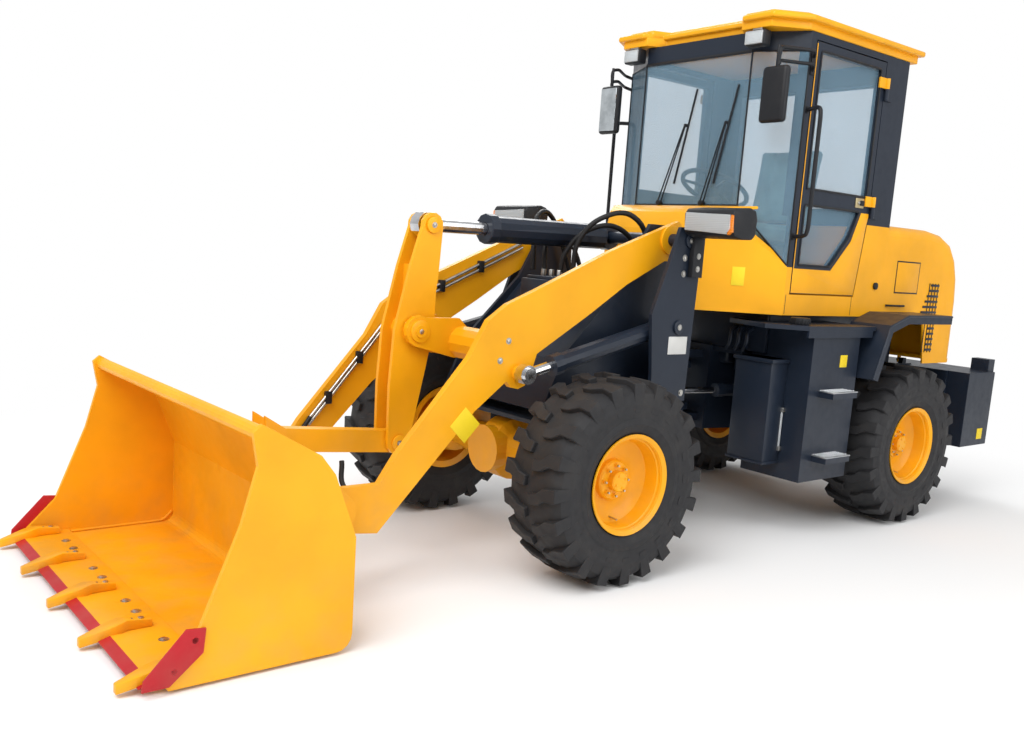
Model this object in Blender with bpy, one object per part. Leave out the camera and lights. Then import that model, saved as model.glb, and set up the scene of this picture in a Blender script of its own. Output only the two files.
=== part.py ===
"""A compact articulated wheel loader, as an assembly of separate sub-components.

Metres, +Z up. The machine faces -Y and its left side is +X. Every size below is
measured from the middle of the front axle at ground level (the machine's datum);
the empty "machine_datum" then shifts the whole machine so that its origin is the
centre of its footprint. Each moving body hangs on an empty that sits on its joint.
"""

import math

import bmesh
import bpy
from mathutils import Matrix, Vector

# ---------------------------------------------------------------- driving dimensions
GAP = 0.0003  # between pieces that touch
RUN = 0.006  # running clearance between pieces that move past each other
OVERLAP = 0.004  # how far welded plates run into each other

WHEELBASE = 2.32
TRACK = 1.40
TYRE_R = 0.462
TYRE_HALF_W = 0.172
RIM_FLANGE_R = 0.2255
RIM_BARREL_R = 0.203
RIM_HALF_W = 0.158
RIM_DISC_X = 0.030  # outer face of the disc from the wheel's middle
RIM_DISC_T = 0.022
RIM_HUB_R = 0.088
RIM_HUB_OUT = 0.105
AXLE_Z = TYRE_R
AXLE_PAD_H = 0.172
TURN_STEPS = 24

PIVOT_Y = WHEELBASE / 2  # articulation, half way between the axles

BUCKET_W = 1.750
CUTTER_T = 0.010  # red side cutters, bolted outside the bucket's side plates
BUCKET_SIDE_T = 0.020
BUCKET_SHELL_T = 0.016
EDGE_T = 0.024
TOOTH_SPACING = 0.412
TOOTH_COUNT = 5
TOOTH_W = 0.075
GROUND_CLEAR = 0.012
HITCH_FACE_Y = -1.330  # where the quick hitch meets the bucket's ribs

ARM_X = 0.430  # middle of a lift arm's plate
ARM_T = 0.032
BOOM_PIN = (0.560, 1.530)  # (y, z) of the boom's rear pivot
BUCKET_PIN = (-1.200, 0.385)
HITCH_PIN = (-1.270, 0.590)
BELLCRANK_PIN = (-0.631, 1.050)
LINK_PIN = (-0.689, 0.543)
ROD_PIN = (-0.563, 1.518)
LIFT_ROD_PIN = (-0.337, 0.905)
LIFT_BASE_PIN = (0.530, 1.120)
LIFT_X = 0.497
LIFT_R = 0.043
LIFT_ROD_R = 0.024
LIFT_EYE_HALF = 0.025
TILT_R = 0.062
TILT_ROD_R = 0.030
STEER_R = 0.034
STEER_ROD_R = 0.018
STEER_Z = 0.740
STEER_BASE = (0.330, 1.700)  # (x, y) of the pins
STEER_HEAD = (0.200, 0.960)
STEER_EYE_HALF = 0.020

BOOM_PIN_R = 0.030
BUCKET_PIN_R = 0.026
LIFT_PIN_R = 0.020
LINK_PIN_R = 0.022
BELLCRANK_PIN_R = 0.028
STEER_PIN_R = 0.015
PIN_RUN = 0.0003  # a pin in its eye, a rod in its gland
PIN_STEPS = 24
HITCH_LUG_X = (0.046, 0.066)
CHEEK_X = (0.042, 0.062)  # the bellcrank's cheeks
TILT_RETRACT = 0.160  # how far a rod can slide in from rest
STEER_RETRACT = 0.146
HEEL_R = 0.060
BUCKET_BACK_Y = -1.357
ARTIC_PIN_R = 0.035

TOWER_OUTER_X = (0.552, 0.572)
TOWER_INNER_X = (0.372, 0.392)

BODY_X = 0.620  # half width of the cab and the hood
BODY_WALL = 0.035
BODY_FLOOR_Z = 1.190
BODY_TOP_Z = 1.700
WINDSCREEN_Z = 1.735
CORNER_LOW_Z = 1.440  # foot of the corner panes and of the front pillars
CAB_FRONT_Y = 1.130
CAB_FRONT_HALF = 0.370
PILLAR_A_Y = (1.268, 1.312)
DOOR_Y = (1.318, 1.962)
DOOR_SILL_Z = 1.305
DOOR_TOP_Z = 2.570
CAB_REAR_Y = 2.190
CAB_TOP_Z = 2.610
ROOF_TOP_Z = 2.700
SCUTTLE_Y = 0.870
SCUTTLE_HALF = 0.330

DOOR_HINGE = (0.632, 1.974)  # (x, y)
HINGE_R = 0.012
HINGE_Z = ((1.735, 1.795, 1.855), (2.370, 2.430, 2.490))  # columns: foot, split, top

HOOD_Y = (2.196, 3.110)
HOOD_LOW_Z = 0.905
HOOD_TOP_Z = 1.715
HOOD_HINGE = (3.100, 0.880)
HOOD_SKIN = 0.012

RAIL_X = (0.285, 0.315)
RAIL_Z = (0.640, 0.860)
FRAME_REAR_Y = 3.180

TANK_X = (0.400, 0.800)
TANK_Y = (1.345, 1.770)
TANK_Z = (0.320, 1.130)
COUNTERWEIGHT_Y = (3.130, 3.560)
COUNTERWEIGHT_X = 0.745
COUNTERWEIGHT_Z = (0.370, 0.850)

TOOTH_TIP_Y = -2.143
REAR_END_Y = COUNTERWEIGHT_Y[1]
DATUM_Y = -(REAR_END_Y + TOOTH_TIP_Y) / 2

COLOURS = {
    "body_orange": ((0.86, 0.42, 0.02), 0.35, 0.0),
    "chassis_navy": ((0.030, 0.042, 0.062), 0.45, 0.0),
    "tyre_rubber": ((0.030, 0.030, 0.032), 0.85, 0.0),
    "bare_steel": ((0.55, 0.56, 0.58), 0.25, 1.0),
    "edge_red": ((0.55, 0.03, 0.05), 0.45, 0.0),
    "window_glass": ((0.45, 0.65, 0.72), 0.05, 0.0),
    "dark_plastic": ((0.020, 0.022, 0.026), 0.55, 0.0),
    "lamp_lens": ((0.80, 0.82, 0.84), 0.10, 0.0),
    "seat_cover": ((0.20, 0.25, 0.24), 0.60, 0.0),
}


# ---------------------------------------------------------------- scene helpers
def clear_scene():
    for obj in list(bpy.data.objects):
        bpy.data.objects.remove(obj, do_unlink=True)


def new_collection(name):
    made = bpy.data.collections.new(name)
    bpy.context.scene.collection.children.link(made)
    return made


clear_scene()
PARTS = new_collection("wheel_loader")
CUTTERS = new_collection("cutters")
CUTTERS.hide_render = True


def material(node, colour):
    rgb, roughness, metallic = COLOURS[colour]
    made = bpy.data.materials.new(node + "_" + colour)
    made.use_nodes = True
    shader = made.node_tree.nodes["Principled BSDF"]
    shader.inputs["Base Color"].default_value = (*rgb, 1.0)
    shader.inputs["Roughness"].default_value = roughness
    shader.inputs["Metallic"].default_value = metallic
    made.diffuse_color = (*rgb, 1.0)
    return made


def empty(name, place, parent=None):
    """An empty at a place in machine coordinates; parent's own place is taken off."""
    made = bpy.data.objects.new(name, None)
    PARTS.objects.link(made)
    made["place"] = place
    base = parent["place"] if parent else (0.0, 0.0, 0.0)
    made.parent = parent
    made.location = [a - b for a, b in zip(place, base)]
    return made


def as_object(name, bm):
    bmesh.ops.recalc_face_normals(bm, faces=bm.faces)
    mesh = bpy.data.meshes.new(name)
    bm.to_mesh(mesh)
    bm.free()
    made = bpy.data.objects.new(name, mesh)
    CUTTERS.objects.link(made)
    return made


# ---------------------------------------------------------------- shapes
def box(x, y, z, name="box"):
    """A block between the given (low, high) pairs."""
    bm = bmesh.new()
    bmesh.ops.create_cube(bm, size=1.0)
    size = [high - low for low, high in (x, y, z)]
    middle = [(high + low) / 2 for low, high in (x, y, z)]
    bmesh.ops.scale(bm, vec=size, verts=bm.verts)
    bmesh.ops.translate(bm, vec=middle, verts=bm.verts)
    return as_object(name, bm)


def rod(start, end, radius, end_radius=None, steps=12, name="rod"):
    """A round bar or cone from one point to another."""
    start, end = Vector(start), Vector(end)
    along = end - start
    bm = bmesh.new()
    bmesh.ops.create_cone(
        bm, cap_ends=True, segments=steps, radius1=radius,
        radius2=radius if end_radius is None else end_radius, depth=along.length,
    )
    turn = along.to_track_quat("Z", "Y").to_matrix().to_4x4()
    bmesh.ops.transform(bm, matrix=Matrix.Translation((start + end) / 2) @ turn, verts=bm.verts)
    made = as_object(name, bm)
    made.data.shade_smooth()
    made.data.set_sharp_from_angle(angle=math.radians(40))
    return made


def cross_pin(pin, x, radius, steps=12, name="pin"):
    """A bar along X through a (y, z) point."""
    return rod((x[0], *pin), (x[1], *pin), radius, steps=steps, name=name)


def bore_r(pin_r):
    """A bore whose flats still clear a turning pin of this radius."""
    return (pin_r + PIN_RUN) / math.cos(math.pi / PIN_STEPS)


def fine_pin(pin, x, radius):
    return cross_pin(pin, x, radius, steps=PIN_STEPS)


def fine_bore(pin, x, radius):
    return cross_pin(pin, x, bore_r(radius), steps=PIN_STEPS)


def arc(centre, radius, start, end, steps=6):
    """Points on an arc, angles in degrees."""
    return [
        (centre[0] + radius * math.cos(math.radians(start + (end - start) * i / steps)),
         centre[1] + radius * math.sin(math.radians(start + (end - start) * i / steps)))
        for i in range(steps + 1)
    ]


PLANES = {  # columns: outline's first axis, second axis, thickness axis
    "side": ((0, 1, 0), (0, 0, 1), (1, 0, 0)),
    "front": ((1, 0, 0), (0, 0, 1), (0, -1, 0)),
    "top": ((1, 0, 0), (0, 1, 0), (0, 0, 1)),
}


def plate(outline, span, plane="side", name="plate"):
    """A flat outline with thickness: side plates are (y, z) outlines that span x."""
    curve = bpy.data.curves.new(name, "CURVE")
    curve.dimensions = "2D"
    curve.fill_mode = "BOTH"
    curve.extrude = abs(span[1] - span[0]) / 2
    spline = curve.splines.new("POLY")
    spline.points.add(len(outline) - 1)
    for point, (a, b) in zip(spline.points, outline):
        point.co = (a, b, 0.0, 1.0)
    spline.use_cyclic_u = True
    drawn = bpy.data.objects.new(name, curve)
    CUTTERS.objects.link(drawn)
    bpy.context.view_layer.update()
    mesh = bpy.data.meshes.new_from_object(drawn.evaluated_get(bpy.context.evaluated_depsgraph_get()))
    bpy.data.objects.remove(drawn, do_unlink=True)
    first, second, thick = (Vector(v) for v in PLANES[plane])
    middle = thick * ((span[0] + span[1]) / 2 * (-1 if plane == "front" else 1))
    turn = Matrix((first, second, thick)).transposed().to_4x4()
    turn.translation = middle
    bm = bmesh.new()
    bm.from_mesh(mesh)
    bmesh.ops.remove_doubles(bm, verts=bm.verts, dist=0.00001)
    bmesh.ops.transform(bm, matrix=turn, verts=bm.verts)
    return as_object(name, bm)


def turned(profile, centre, out=1, steps=TURN_STEPS, closed=False, name="turned"):
    """A shape turned about X: (radius, offset along X) points; out=-1 faces it to -X."""
    bm = bmesh.new()
    points = [bm.verts.new((radius, 0.0, along)) for radius, along in profile]
    pairs = list(zip(points, points[1:])) + ([(points[-1], points[0])] if closed else [])
    for a, b in pairs:
        bm.edges.new((a, b))
    bmesh.ops.spin(
        bm, geom=bm.verts[:] + bm.edges[:], cent=(0, 0, 0), axis=(0, 0, 1),
        angle=2 * math.pi, steps=steps, use_merge=True,
    )
    bmesh.ops.remove_doubles(bm, verts=bm.verts, dist=0.00001)
    face_out = Matrix.Rotation(math.radians(90 * out), 4, "Y")
    bmesh.ops.transform(bm, matrix=Matrix.Translation(centre) @ face_out, verts=bm.verts)
    made = as_object(name, bm)
    made.data.shade_smooth()
    made.data.set_sharp_from_angle(angle=math.radians(35))
    return made


def both_sides(make):
    """Two mirrored shapes: make(side) for side = 1 (left) and -1 (right)."""
    return [make(1), make(-1)]


def sided(span, side):
    return tuple(sorted((span[0] * side, span[1] * side)))


def tube(points, radius, name="tube", steps=2):
    """A bent bar through the points, as a mesh."""
    curve = bpy.data.curves.new(name, "CURVE")
    curve.dimensions = "3D"
    curve.bevel_depth = radius
    curve.bevel_resolution = steps
    curve.use_fill_caps = True
    spline = curve.splines.new("POLY")
    spline.points.add(len(points) - 1)
    for point, place in zip(spline.points, points):
        point.co = (*place, 1.0)
    drawn = bpy.data.objects.new(name, curve)
    CUTTERS.objects.link(drawn)
    bpy.context.view_layer.update()
    mesh = bpy.data.meshes.new_from_object(drawn.evaluated_get(bpy.context.evaluated_depsgraph_get()))
    bpy.data.objects.remove(drawn, do_unlink=True)
    bm = bmesh.new()
    bm.from_mesh(mesh)
    bmesh.ops.remove_doubles(bm, verts=bm.verts, dist=0.00001)
    return as_object(name, bm)


def node(name, colour, body, shapes, cuts=()):
    """One named piece: the shapes joined, the cuts taken off, hung on its body's empty."""
    base = shapes[0]
    base.name = name
    base.data.name = name
    CUTTERS.objects.unlink(base)
    PARTS.objects.link(base)
    base.data.materials.clear()
    base.data.materials.append(material(name, colour))
    helpers = [(shape, "UNION") for shape in shapes[1:]] + [(cut, "DIFFERENCE") for cut in cuts]
    for number, (helper, operation) in enumerate(helpers):
        helper.name = f"{name}_{operation.lower()}_{number}"
        helper.hide_render = True
        helper.display_type = "WIRE"
        modifier = base.modifiers.new(f"{operation.lower()}_{number}", "BOOLEAN")
        modifier.operation = operation
        modifier.object = helper
    place = Vector(body["place"])
    for obj in [base] + [helper for helper, _ in helpers]:
        obj.data.transform(Matrix.Translation(-place))
        obj.parent = body
    return base


def join_after(base, helpers, body, operation="UNION"):
    """More shapes joined to a piece, or cut from it, after what was done to it before."""
    place = Vector(body["place"])
    for number, helper in enumerate(helpers, len(base.modifiers)):
        helper.name = f"{base.name}_{operation.lower()}_{number}"
        helper.hide_render = True
        helper.display_type = "WIRE"
        helper.data.transform(Matrix.Translation(-place))
        helper.parent = body
        modifier = base.modifiers.new(f"{operation.lower()}_{number}", "BOOLEAN")
        modifier.operation = operation
        modifier.object = helper


# ---------------------------------------------------------------- bodies
DATUM = empty("machine_datum", (0.0, 0.0, 0.0))
DATUM.location = (0.0, DATUM_Y, 0.0)
REAR = empty("rear_module", (0.0, WHEELBASE, AXLE_Z), DATUM)
FRONT = empty("front_module", (0.0, PIVOT_Y, RAIL_Z[0]), DATUM)
BOOM = empty("boom_body", (0.0, *BOOM_PIN), FRONT)
BUCKET = empty("bucket_body", (0.0, *BUCKET_PIN), BOOM)
BELLCRANK = empty("bellcrank_body", (0.0, *BELLCRANK_PIN), BOOM)
LINK = empty("dump_link_body", (0.0, *LINK_PIN), BELLCRANK)
HOOD = empty("hood_body", (0.0, *HOOD_HINGE), REAR)


# ---------------------------------------------------------------- wheels
def tyre_profile():
    half = TYRE_HALF_W
    inner = RIM_BARREL_R + GAP
    right = [
        (inner, 0.140), (RIM_FLANGE_R, 0.147), (0.270, half - 0.008), (0.360, half),
        (0.430, half - 0.014), (TYRE_R, half - 0.060),
    ]
    return right + [(radius, -along) for radius, along in reversed(right)]


def rim_profile():
    wall = 0.010
    inside = RIM_BARREL_R - wall
    disc_in = RIM_DISC_X - RIM_DISC_T
    return [
        (0.0, RIM_HUB_OUT), (RIM_HUB_R - 0.014, RIM_HUB_OUT), (RIM_HUB_R, RIM_HUB_OUT - 0.014),
        (RIM_HUB_R, RIM_DISC_X + 0.012), (RIM_HUB_R + 0.012, RIM_DISC_X), (0.165, RIM_DISC_X),
        (inside, RIM_DISC_X + 0.030), (inside, RIM_HALF_W - 0.012),
        (RIM_FLANGE_R - 0.006, RIM_HALF_W), (RIM_FLANGE_R, RIM_HALF_W - 0.004),
        (RIM_FLANGE_R, RIM_HALF_W - 0.008), (RIM_BARREL_R, 0.1405),
        (RIM_BARREL_R, -0.1405), (RIM_FLANGE_R, -RIM_HALF_W + 0.008),
        (RIM_FLANGE_R, -RIM_HALF_W), (inside, -RIM_HALF_W + 0.012),
        (inside, disc_in - 0.020), (0.165, disc_in), (0.0, disc_in),
    ]


def wheel(label, side, y, carrier):
    centre = (side * TRACK / 2, y, AXLE_Z)
    body = empty(f"{label}_wheel_body", centre, carrier)
    tyre = turned(tyre_profile(), centre, side, closed=True)
    node(f"{label}_tyre", "tyre_rubber", body, [tyre])
    node(f"{label}_rim", "body_orange", body, [turned(rim_profile(), centre, side)])


def axle(name, y, body):
    """A beam axle: a bowl in the middle, tapering arms and a brake housing at each end."""
    hub_face = TRACK / 2 + RIM_DISC_X - RIM_DISC_T - GAP
    half = [(0.155, 0.060), (0.104, 0.085), (0.068, 0.430), (0.110, 0.440), (0.130, 0.560),
            (0.130, hub_face)]
    line = [(0.0, hub_face)] + half[::-1] + [(radius, -along) for radius,
                                             along in half] + [(0.0, -hub_face)]
    beam = turned(line, (0.0, y, AXLE_Z), steps=20)
    bowl = rod((0, y - 0.165, AXLE_Z + 0.003), (0, y + 0.175, AXLE_Z + 0.003), 0.118, 0.085, steps=20)
    pads = both_sides(lambda s: box(
        sided((0.265, 0.405), s), (y - 0.081, y + 0.081), (AXLE_Z + 0.031, AXLE_Z + AXLE_PAD_H)))
    node(name, "body_orange", body, [beam, bowl] + pads)


for label, side, y, carrier in (
    ("front_left", 1, 0.0, FRONT), ("front_right", -1, 0.0, FRONT),
    ("rear_left", 1, WHEELBASE, REAR), ("rear_right", -1, WHEELBASE, REAR),
):
    wheel(label, side, y, carrier)
axle("front_axle", 0.0, FRONT)
axle("rear_axle", WHEELBASE, REAR)

AXLE_TOP = AXLE_Z + AXLE_PAD_H + GAP


# ---------------------------------------------------------------- front frame
def tower_outline():
    return [
        (0.650, 1.530), (0.636, 1.200), (0.622, 0.820), (0.622, 0.760), (0.375, 0.760),
        (0.375, 0.890), (0.341, 1.178), (0.454, 1.481), (0.490, 1.590), (0.640, 1.600),
    ]


def inner_tower_outline():
    return [
        (0.650, 1.600), (0.700, AXLE_TOP + 0.10), (0.700, AXLE_TOP), (-0.120, AXLE_TOP),
        (-0.150, 0.700), (-0.020, 0.980), (0.300, 1.300), (0.470, 1.600),
    ]


def front_frame():
    shapes = []
    for side in (1, -1):
        shapes.append(plate(inner_tower_outline(), sided(TOWER_INNER_X, side)))
        shapes.append(plate(tower_outline(), sided(TOWER_OUTER_X, side)))
        outboard = (TOWER_INNER_X[1] - OVERLAP, TOWER_OUTER_X[0] + OVERLAP)
        shapes.append(box(sided(outboard, side), (0.380, 0.618), (0.762, 0.800)))
        shapes.append(box(sided(outboard, side), (0.600, 0.625), (0.762, 1.030)))
        pins = (TOWER_INNER_X[0] + OVERLAP, TOWER_OUTER_X[1] - 0.002)
        shapes.append(fine_pin(BOOM_PIN, sided(pins, side), BOOM_PIN_R))
        shapes.append(fine_pin(LIFT_BASE_PIN, sided(pins, side), LIFT_PIN_R))
    across = (-TOWER_INNER_X[0] - OVERLAP, TOWER_INNER_X[0] + OVERLAP)
    shapes.append(box(across, (-0.118, 0.695), (AXLE_TOP + 0.002, AXLE_TOP + 0.022)))
    sloping = [(-0.090, 0.700), (0.010, 0.940), (0.330, 1.290), (0.350, 1.275), (0.030, 0.925),
               (-0.070, 0.690)]
    shapes.append(plate(sloping, across))
    shapes.append(box(across, (0.655, 0.680), (AXLE_TOP + 0.004, 1.250)))
    shapes.append(box((-0.180, 0.180), (0.670, 1.075), (0.845, 0.885)))
    shapes.append(box((-0.180, 0.180), (0.670, 1.075), (0.605, 0.645)))
    shapes.append(box((-0.180, 0.180), (0.660, 0.860), (0.625, 0.870)))
    for side in (1, -1):
        head = (side * STEER_HEAD[0], STEER_HEAD[1])
        for end, seat in ((0.606, -1), (0.884, 1)):
            shapes.append(rod((*head, end), (*head, STEER_Z + seat * (STEER_EYE_HALF + GAP)), 0.026))
    for z in ((0.605, 0.645), (0.845, 0.885)):
        shapes.append(box((-0.240, 0.240), (0.905, 1.005), (z[0] + 0.001, z[1] - 0.001)))
        shapes.append(rod((0, PIVOT_Y, z[0]), (0, PIVOT_Y, z[1]), 0.105))
        shapes.append(box((-0.104, 0.104), (1.060, PIVOT_Y), (z[0] + 0.0005, z[1] - 0.0005)))
    shapes.append(rod((0, PIVOT_Y, 0.545), (0, PIVOT_Y, 0.945), ARTIC_PIN_R, steps=PIN_STEPS))
    shapes.append(fine_pin(BOOM_PIN, (-0.380, 0.380), BOOM_PIN_R))
    node("front_frame", "chassis_navy", FRONT, shapes)


front_frame()


def headlamp(label, side):
    x = (0.580, 0.850)
    shell = plate(
        [(0.545, 1.560), (0.500, 1.580), (0.488, 1.665), (0.520, 1.700), (0.640, 1.695), (0.655, 1.575)],
        sided(x, side),
    )
    stalk = box(sided((TOWER_OUTER_X[1] + GAP, 0.600), side), (0.560, 0.632), (1.360, 1.590))
    node(f"headlamp_{label}", "dark_plastic", FRONT, [shell, stalk])


headlamp("left", 1)
headlamp("right", -1)


# ---------------------------------------------------------------- boom and linkage
def arm_outline():
    rear = arc(BOOM_PIN, 0.105, 62, -105, 7)
    lug = arc(LIFT_ROD_PIN, 0.072, -20, -150, 4)
    tip = arc(BUCKET_PIN, 0.095, -110, -290, 8)
    lower = [(0.289, 1.308), (0.054, 1.159), (-0.236, 0.987)]
    belly = [(-0.560, 0.745), (-1.013, 0.270)]
    upper = [(-1.015, 0.474), (-0.942, 0.582), (-0.601, 0.979), (-0.513, 1.133), (-0.416, 1.202),
             (-0.262, 1.267), (0.182, 1.462)]
    return rear + lower + lug + belly + tip + upper


CROSS_TUBE = (-0.400, 1.000)
CROSS_TUBE_R = 0.075
EAR_X = (0.078, 0.104)


def boom():
    shapes = []
    cuts = []
    for side in (1, -1):
        shapes.append(plate(arm_outline(), sided((ARM_X - ARM_T / 2, ARM_X + ARM_T / 2), side)))
        boss = sided((ARM_X, LIFT_X - LIFT_EYE_HALF - GAP), side)
        shapes.append(cross_pin(LIFT_ROD_PIN, boss, 0.034))
        ear = [(-0.320, 1.020), (-0.420, 1.110), *arc(BELLCRANK_PIN, 0.070, 60, 250, 7), (-0.440, 0.930),
               (-0.340, 0.930)]
        shapes.append(plate(ear, sided(EAR_X, side)))
        cuts.append(fine_bore(BOOM_PIN, sided((ARM_X - 0.05, ARM_X + 0.05), side), BOOM_PIN_R))
        cuts.append(fine_bore(BUCKET_PIN, sided((ARM_X - 0.05, ARM_X + 0.05), side), BUCKET_PIN_R))
        cuts.append(fine_bore(BELLCRANK_PIN, sided((EAR_X[0] - 0.01, EAR_X[1] + 0.01), side),
                              BELLCRANK_PIN_R))
    shapes.append(cross_pin(CROSS_TUBE, (-ARM_X, ARM_X), CROSS_TUBE_R))
    node("boom", "body_orange", BOOM, shapes, cuts)


def bellcrank():
    """Two curved cheeks on a pivot tube, with the pins for the tilt rod and the dump link."""
    outline = (
        arc(ROD_PIN, 0.055, -10, 190, 7) + [(-0.670, 1.330), (-0.735, 1.050), (-0.748, 0.800)]
        + arc(LINK_PIN, 0.055, 180, 360, 7) + [(-0.570, 0.850), (-0.530, 1.050), (-0.528, 1.230),
                                               (-0.520, 1.300)]
    )
    shapes = [fine_pin(BELLCRANK_PIN, (-0.118, 0.118), BELLCRANK_PIN_R)]
    shapes.append(cross_pin(BELLCRANK_PIN, (-CHEEK_X[1] - 0.008, CHEEK_X[1] + 0.008), 0.062))
    for side in (1, -1):
        shapes.append(plate(outline, sided(CHEEK_X, side)))
        shapes.append(cross_pin(ROD_PIN, sided((CHEEK_X[0] + OVERLAP, CHEEK_X[1] + 0.006), side),
                                LINK_PIN_R))
    shapes.append(fine_pin(LINK_PIN, (-CHEEK_X[1] - 0.006, CHEEK_X[1] + 0.006), LINK_PIN_R))
    web = [(-0.640, 1.340), (-0.610, 1.340), (-0.610, 0.760), (-0.640, 0.760)]
    shapes.append(plate(web, (-CHEEK_X[0] - OVERLAP, CHEEK_X[0] + OVERLAP)))
    node("bellcrank", "body_orange", BELLCRANK, shapes)


def eye_bar(pin_a, pin_b, x, eye_r, bar_half):
    """A flat bar between two eyes, in the side view."""
    ends = [
        cross_pin(pin_a, x, eye_r), cross_pin(pin_b, x, eye_r),
    ]
    along = math.atan2(pin_b[1] - pin_a[1], pin_b[0] - pin_a[0])
    off = (-math.sin(along) * bar_half, math.cos(along) * bar_half)
    bar = plate(
        [(pin_a[0] + off[0], pin_a[1] + off[1]), (pin_b[0] + off[0], pin_b[1] + off[1]),
         (pin_b[0] - off[0], pin_b[1] - off[1]), (pin_a[0] - off[0], pin_a[1] - off[1])],
        (x[0] + 0.001, x[1] - 0.001),
    )
    return [ends[0], bar, ends[1]]


def dump_link():
    x = (-0.034, 0.034)
    reach = HITCH_LUG_X[0] - GAP
    hitch_pin = cross_pin(HITCH_PIN, (-reach, reach), LINK_PIN_R)
    bar = eye_bar(LINK_PIN, HITCH_PIN, x, 0.056, 0.050)
    node("dump_link", "body_orange", LINK, [*bar, hitch_pin],
         [fine_bore(LINK_PIN, (-0.08, 0.08), LINK_PIN_R)])


boom()
bellcrank()
dump_link()


# ---------------------------------------------------------------- bucket
def bucket_back():
    """The shell's outer line in the side view, from the cutting edge round to the top lip."""
    low = GROUND_CLEAR
    floor = [(-2.000, low), (BUCKET_BACK_Y - HEEL_R, low)]
    heel = arc((BUCKET_BACK_Y - HEEL_R, low + HEEL_R), HEEL_R, -90, 0, 4)[1:]
    back = [(BUCKET_BACK_Y, 0.420), (-1.445, 0.650), (-1.500, 0.720)]
    return floor + heel + back + [(-1.700, 0.815)]


def bucket():
    shell = bucket_back()
    inner = [(-1.700, 0.797), (-1.508, 0.705), (-1.460, 0.645), (BUCKET_BACK_Y - 0.016, 0.420)]
    inner += arc((BUCKET_BACK_Y - HEEL_R, GROUND_CLEAR + HEEL_R), HEEL_R - 0.016, 0, -90, 4)
    inner += [(-2.000, GROUND_CLEAR + 0.016)]
    half = BUCKET_W / 2
    skin = plate(shell + inner, (-half + 0.002, half - 0.002))
    side_line = shell[:-1] + [(-1.712, 0.838), (-1.742, 0.812), (-1.722, 0.700)]
    side_line += [(-1.774, 0.513), (-1.905, 0.190), (-2.030, 0.060)]
    sides = both_sides(lambda s: plate(side_line, sided((half - BUCKET_SIDE_T, half), s)))
    lip = rod((-half + 0.010, -1.700, 0.800), (half - 0.010, -1.700, 0.800), 0.026)
    seat_y = HITCH_FACE_Y - GAP
    ribs = both_sides(lambda s: plate(
        [(seat_y, 0.200), (seat_y, 0.545), (-1.405, 0.560), (-1.375, 0.420), (-1.365, 0.200)],
        sided((0.300, 0.330), s),
    ))
    node("bucket", "body_orange", BUCKET, [skin, lip] + sides + ribs)


def cutting_edge():
    """The bolt-on edge plate with its teeth, which are bolted on it."""
    half = BUCKET_W / 2 - BUCKET_SIDE_T - 0.002
    top = GROUND_CLEAR + 0.016 + GAP
    edge = [(-1.850, top), (-1.850, top + 0.018), (-2.040, top + 0.018), (-2.085, top + 0.004),
            (-2.085, top)]
    nose = [(-2.032, top), (-2.032, top + 0.018), (-2.040, top + 0.018), (-2.085, top + 0.004),
            (-2.085, top)]
    reach = BUCKET_W / 2 + CUTTER_T
    shapes = [plate(edge, (-half, half)), plate(nose, (-reach, reach))]
    cutter = [(-2.080, top + 0.002), (-2.076, 0.062), (-1.945, 0.200), (-1.885, 0.196), (-1.893, 0.120),
              (-2.020, top + 0.001)]
    for side in (1, -1):
        shapes.append(plate(cutter, sided((BUCKET_W / 2 + GAP, reach - 0.0005), side)))
    for number in range(TOOTH_COUNT):
        x = (number - (TOOTH_COUNT - 1) / 2) * TOOTH_SPACING
        x = max(-half + TOOTH_W / 2 + 0.004, min(half - TOOTH_W / 2 - 0.004, x))
        tooth = [
            (-1.900, top + 0.014), (-1.925, top + 0.050), (-2.020, top + 0.052),
            (TOOTH_TIP_Y, GROUND_CLEAR + 0.010), (TOOTH_TIP_Y, GROUND_CLEAR),
            (-2.070, GROUND_CLEAR), (-2.060, top + 0.004),
        ]
        shapes.append(plate(tooth, (x - TOOTH_W / 2, x + TOOTH_W / 2)))
    node("cutting_edge", "edge_red", BUCKET, shapes)


def quick_hitch():
    """The carrier between the boom and the bucket: ears for the arms and the dump link."""
    shapes = []
    front = (HITCH_FACE_Y, HITCH_FACE_Y + 0.026)
    for side in (1, -1):
        for near, far in ((0.382, 0.404), (0.456, 0.478)):
            ear = [(front[0] + 0.002, 0.290), (front[0] + 0.002, 0.560), (-1.270, 0.560),
                   *arc(BUCKET_PIN, 0.072, 60, -90, 6), (-1.270, 0.290)]
            shapes.append(plate(ear, sided((near, far), side)))
        shapes.append(fine_pin(BUCKET_PIN, sided((0.370, 0.490), side), BUCKET_PIN_R))
        shapes.append(plate(
            [(front[0], 0.555), (front[0], 0.700), (-1.235, 0.640), *arc(HITCH_PIN, 0.052, 40, -100, 5),
             (-1.310, 0.500)],
            sided(HITCH_LUG_X, side),
        ))
        shapes.append(cross_pin(HITCH_PIN, sided((HITCH_LUG_X[0] + OVERLAP, HITCH_LUG_X[1] + 0.006), side),
                                LINK_PIN_R))
    shapes.append(box((-0.478, 0.478), front, (0.450, 0.510)))
    shapes.append(box((-0.405, 0.405), front, (0.300, 0.460)))
    node("quick_hitch", "body_orange", BUCKET, shapes)


bucket()
cutting_edge()
quick_hitch()


# ---------------------------------------------------------------- cylinders
def towards(start, end, distance):
    start, end = Vector(start), Vector(end)
    return tuple(start + (end - start).normalized() * distance)


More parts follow.
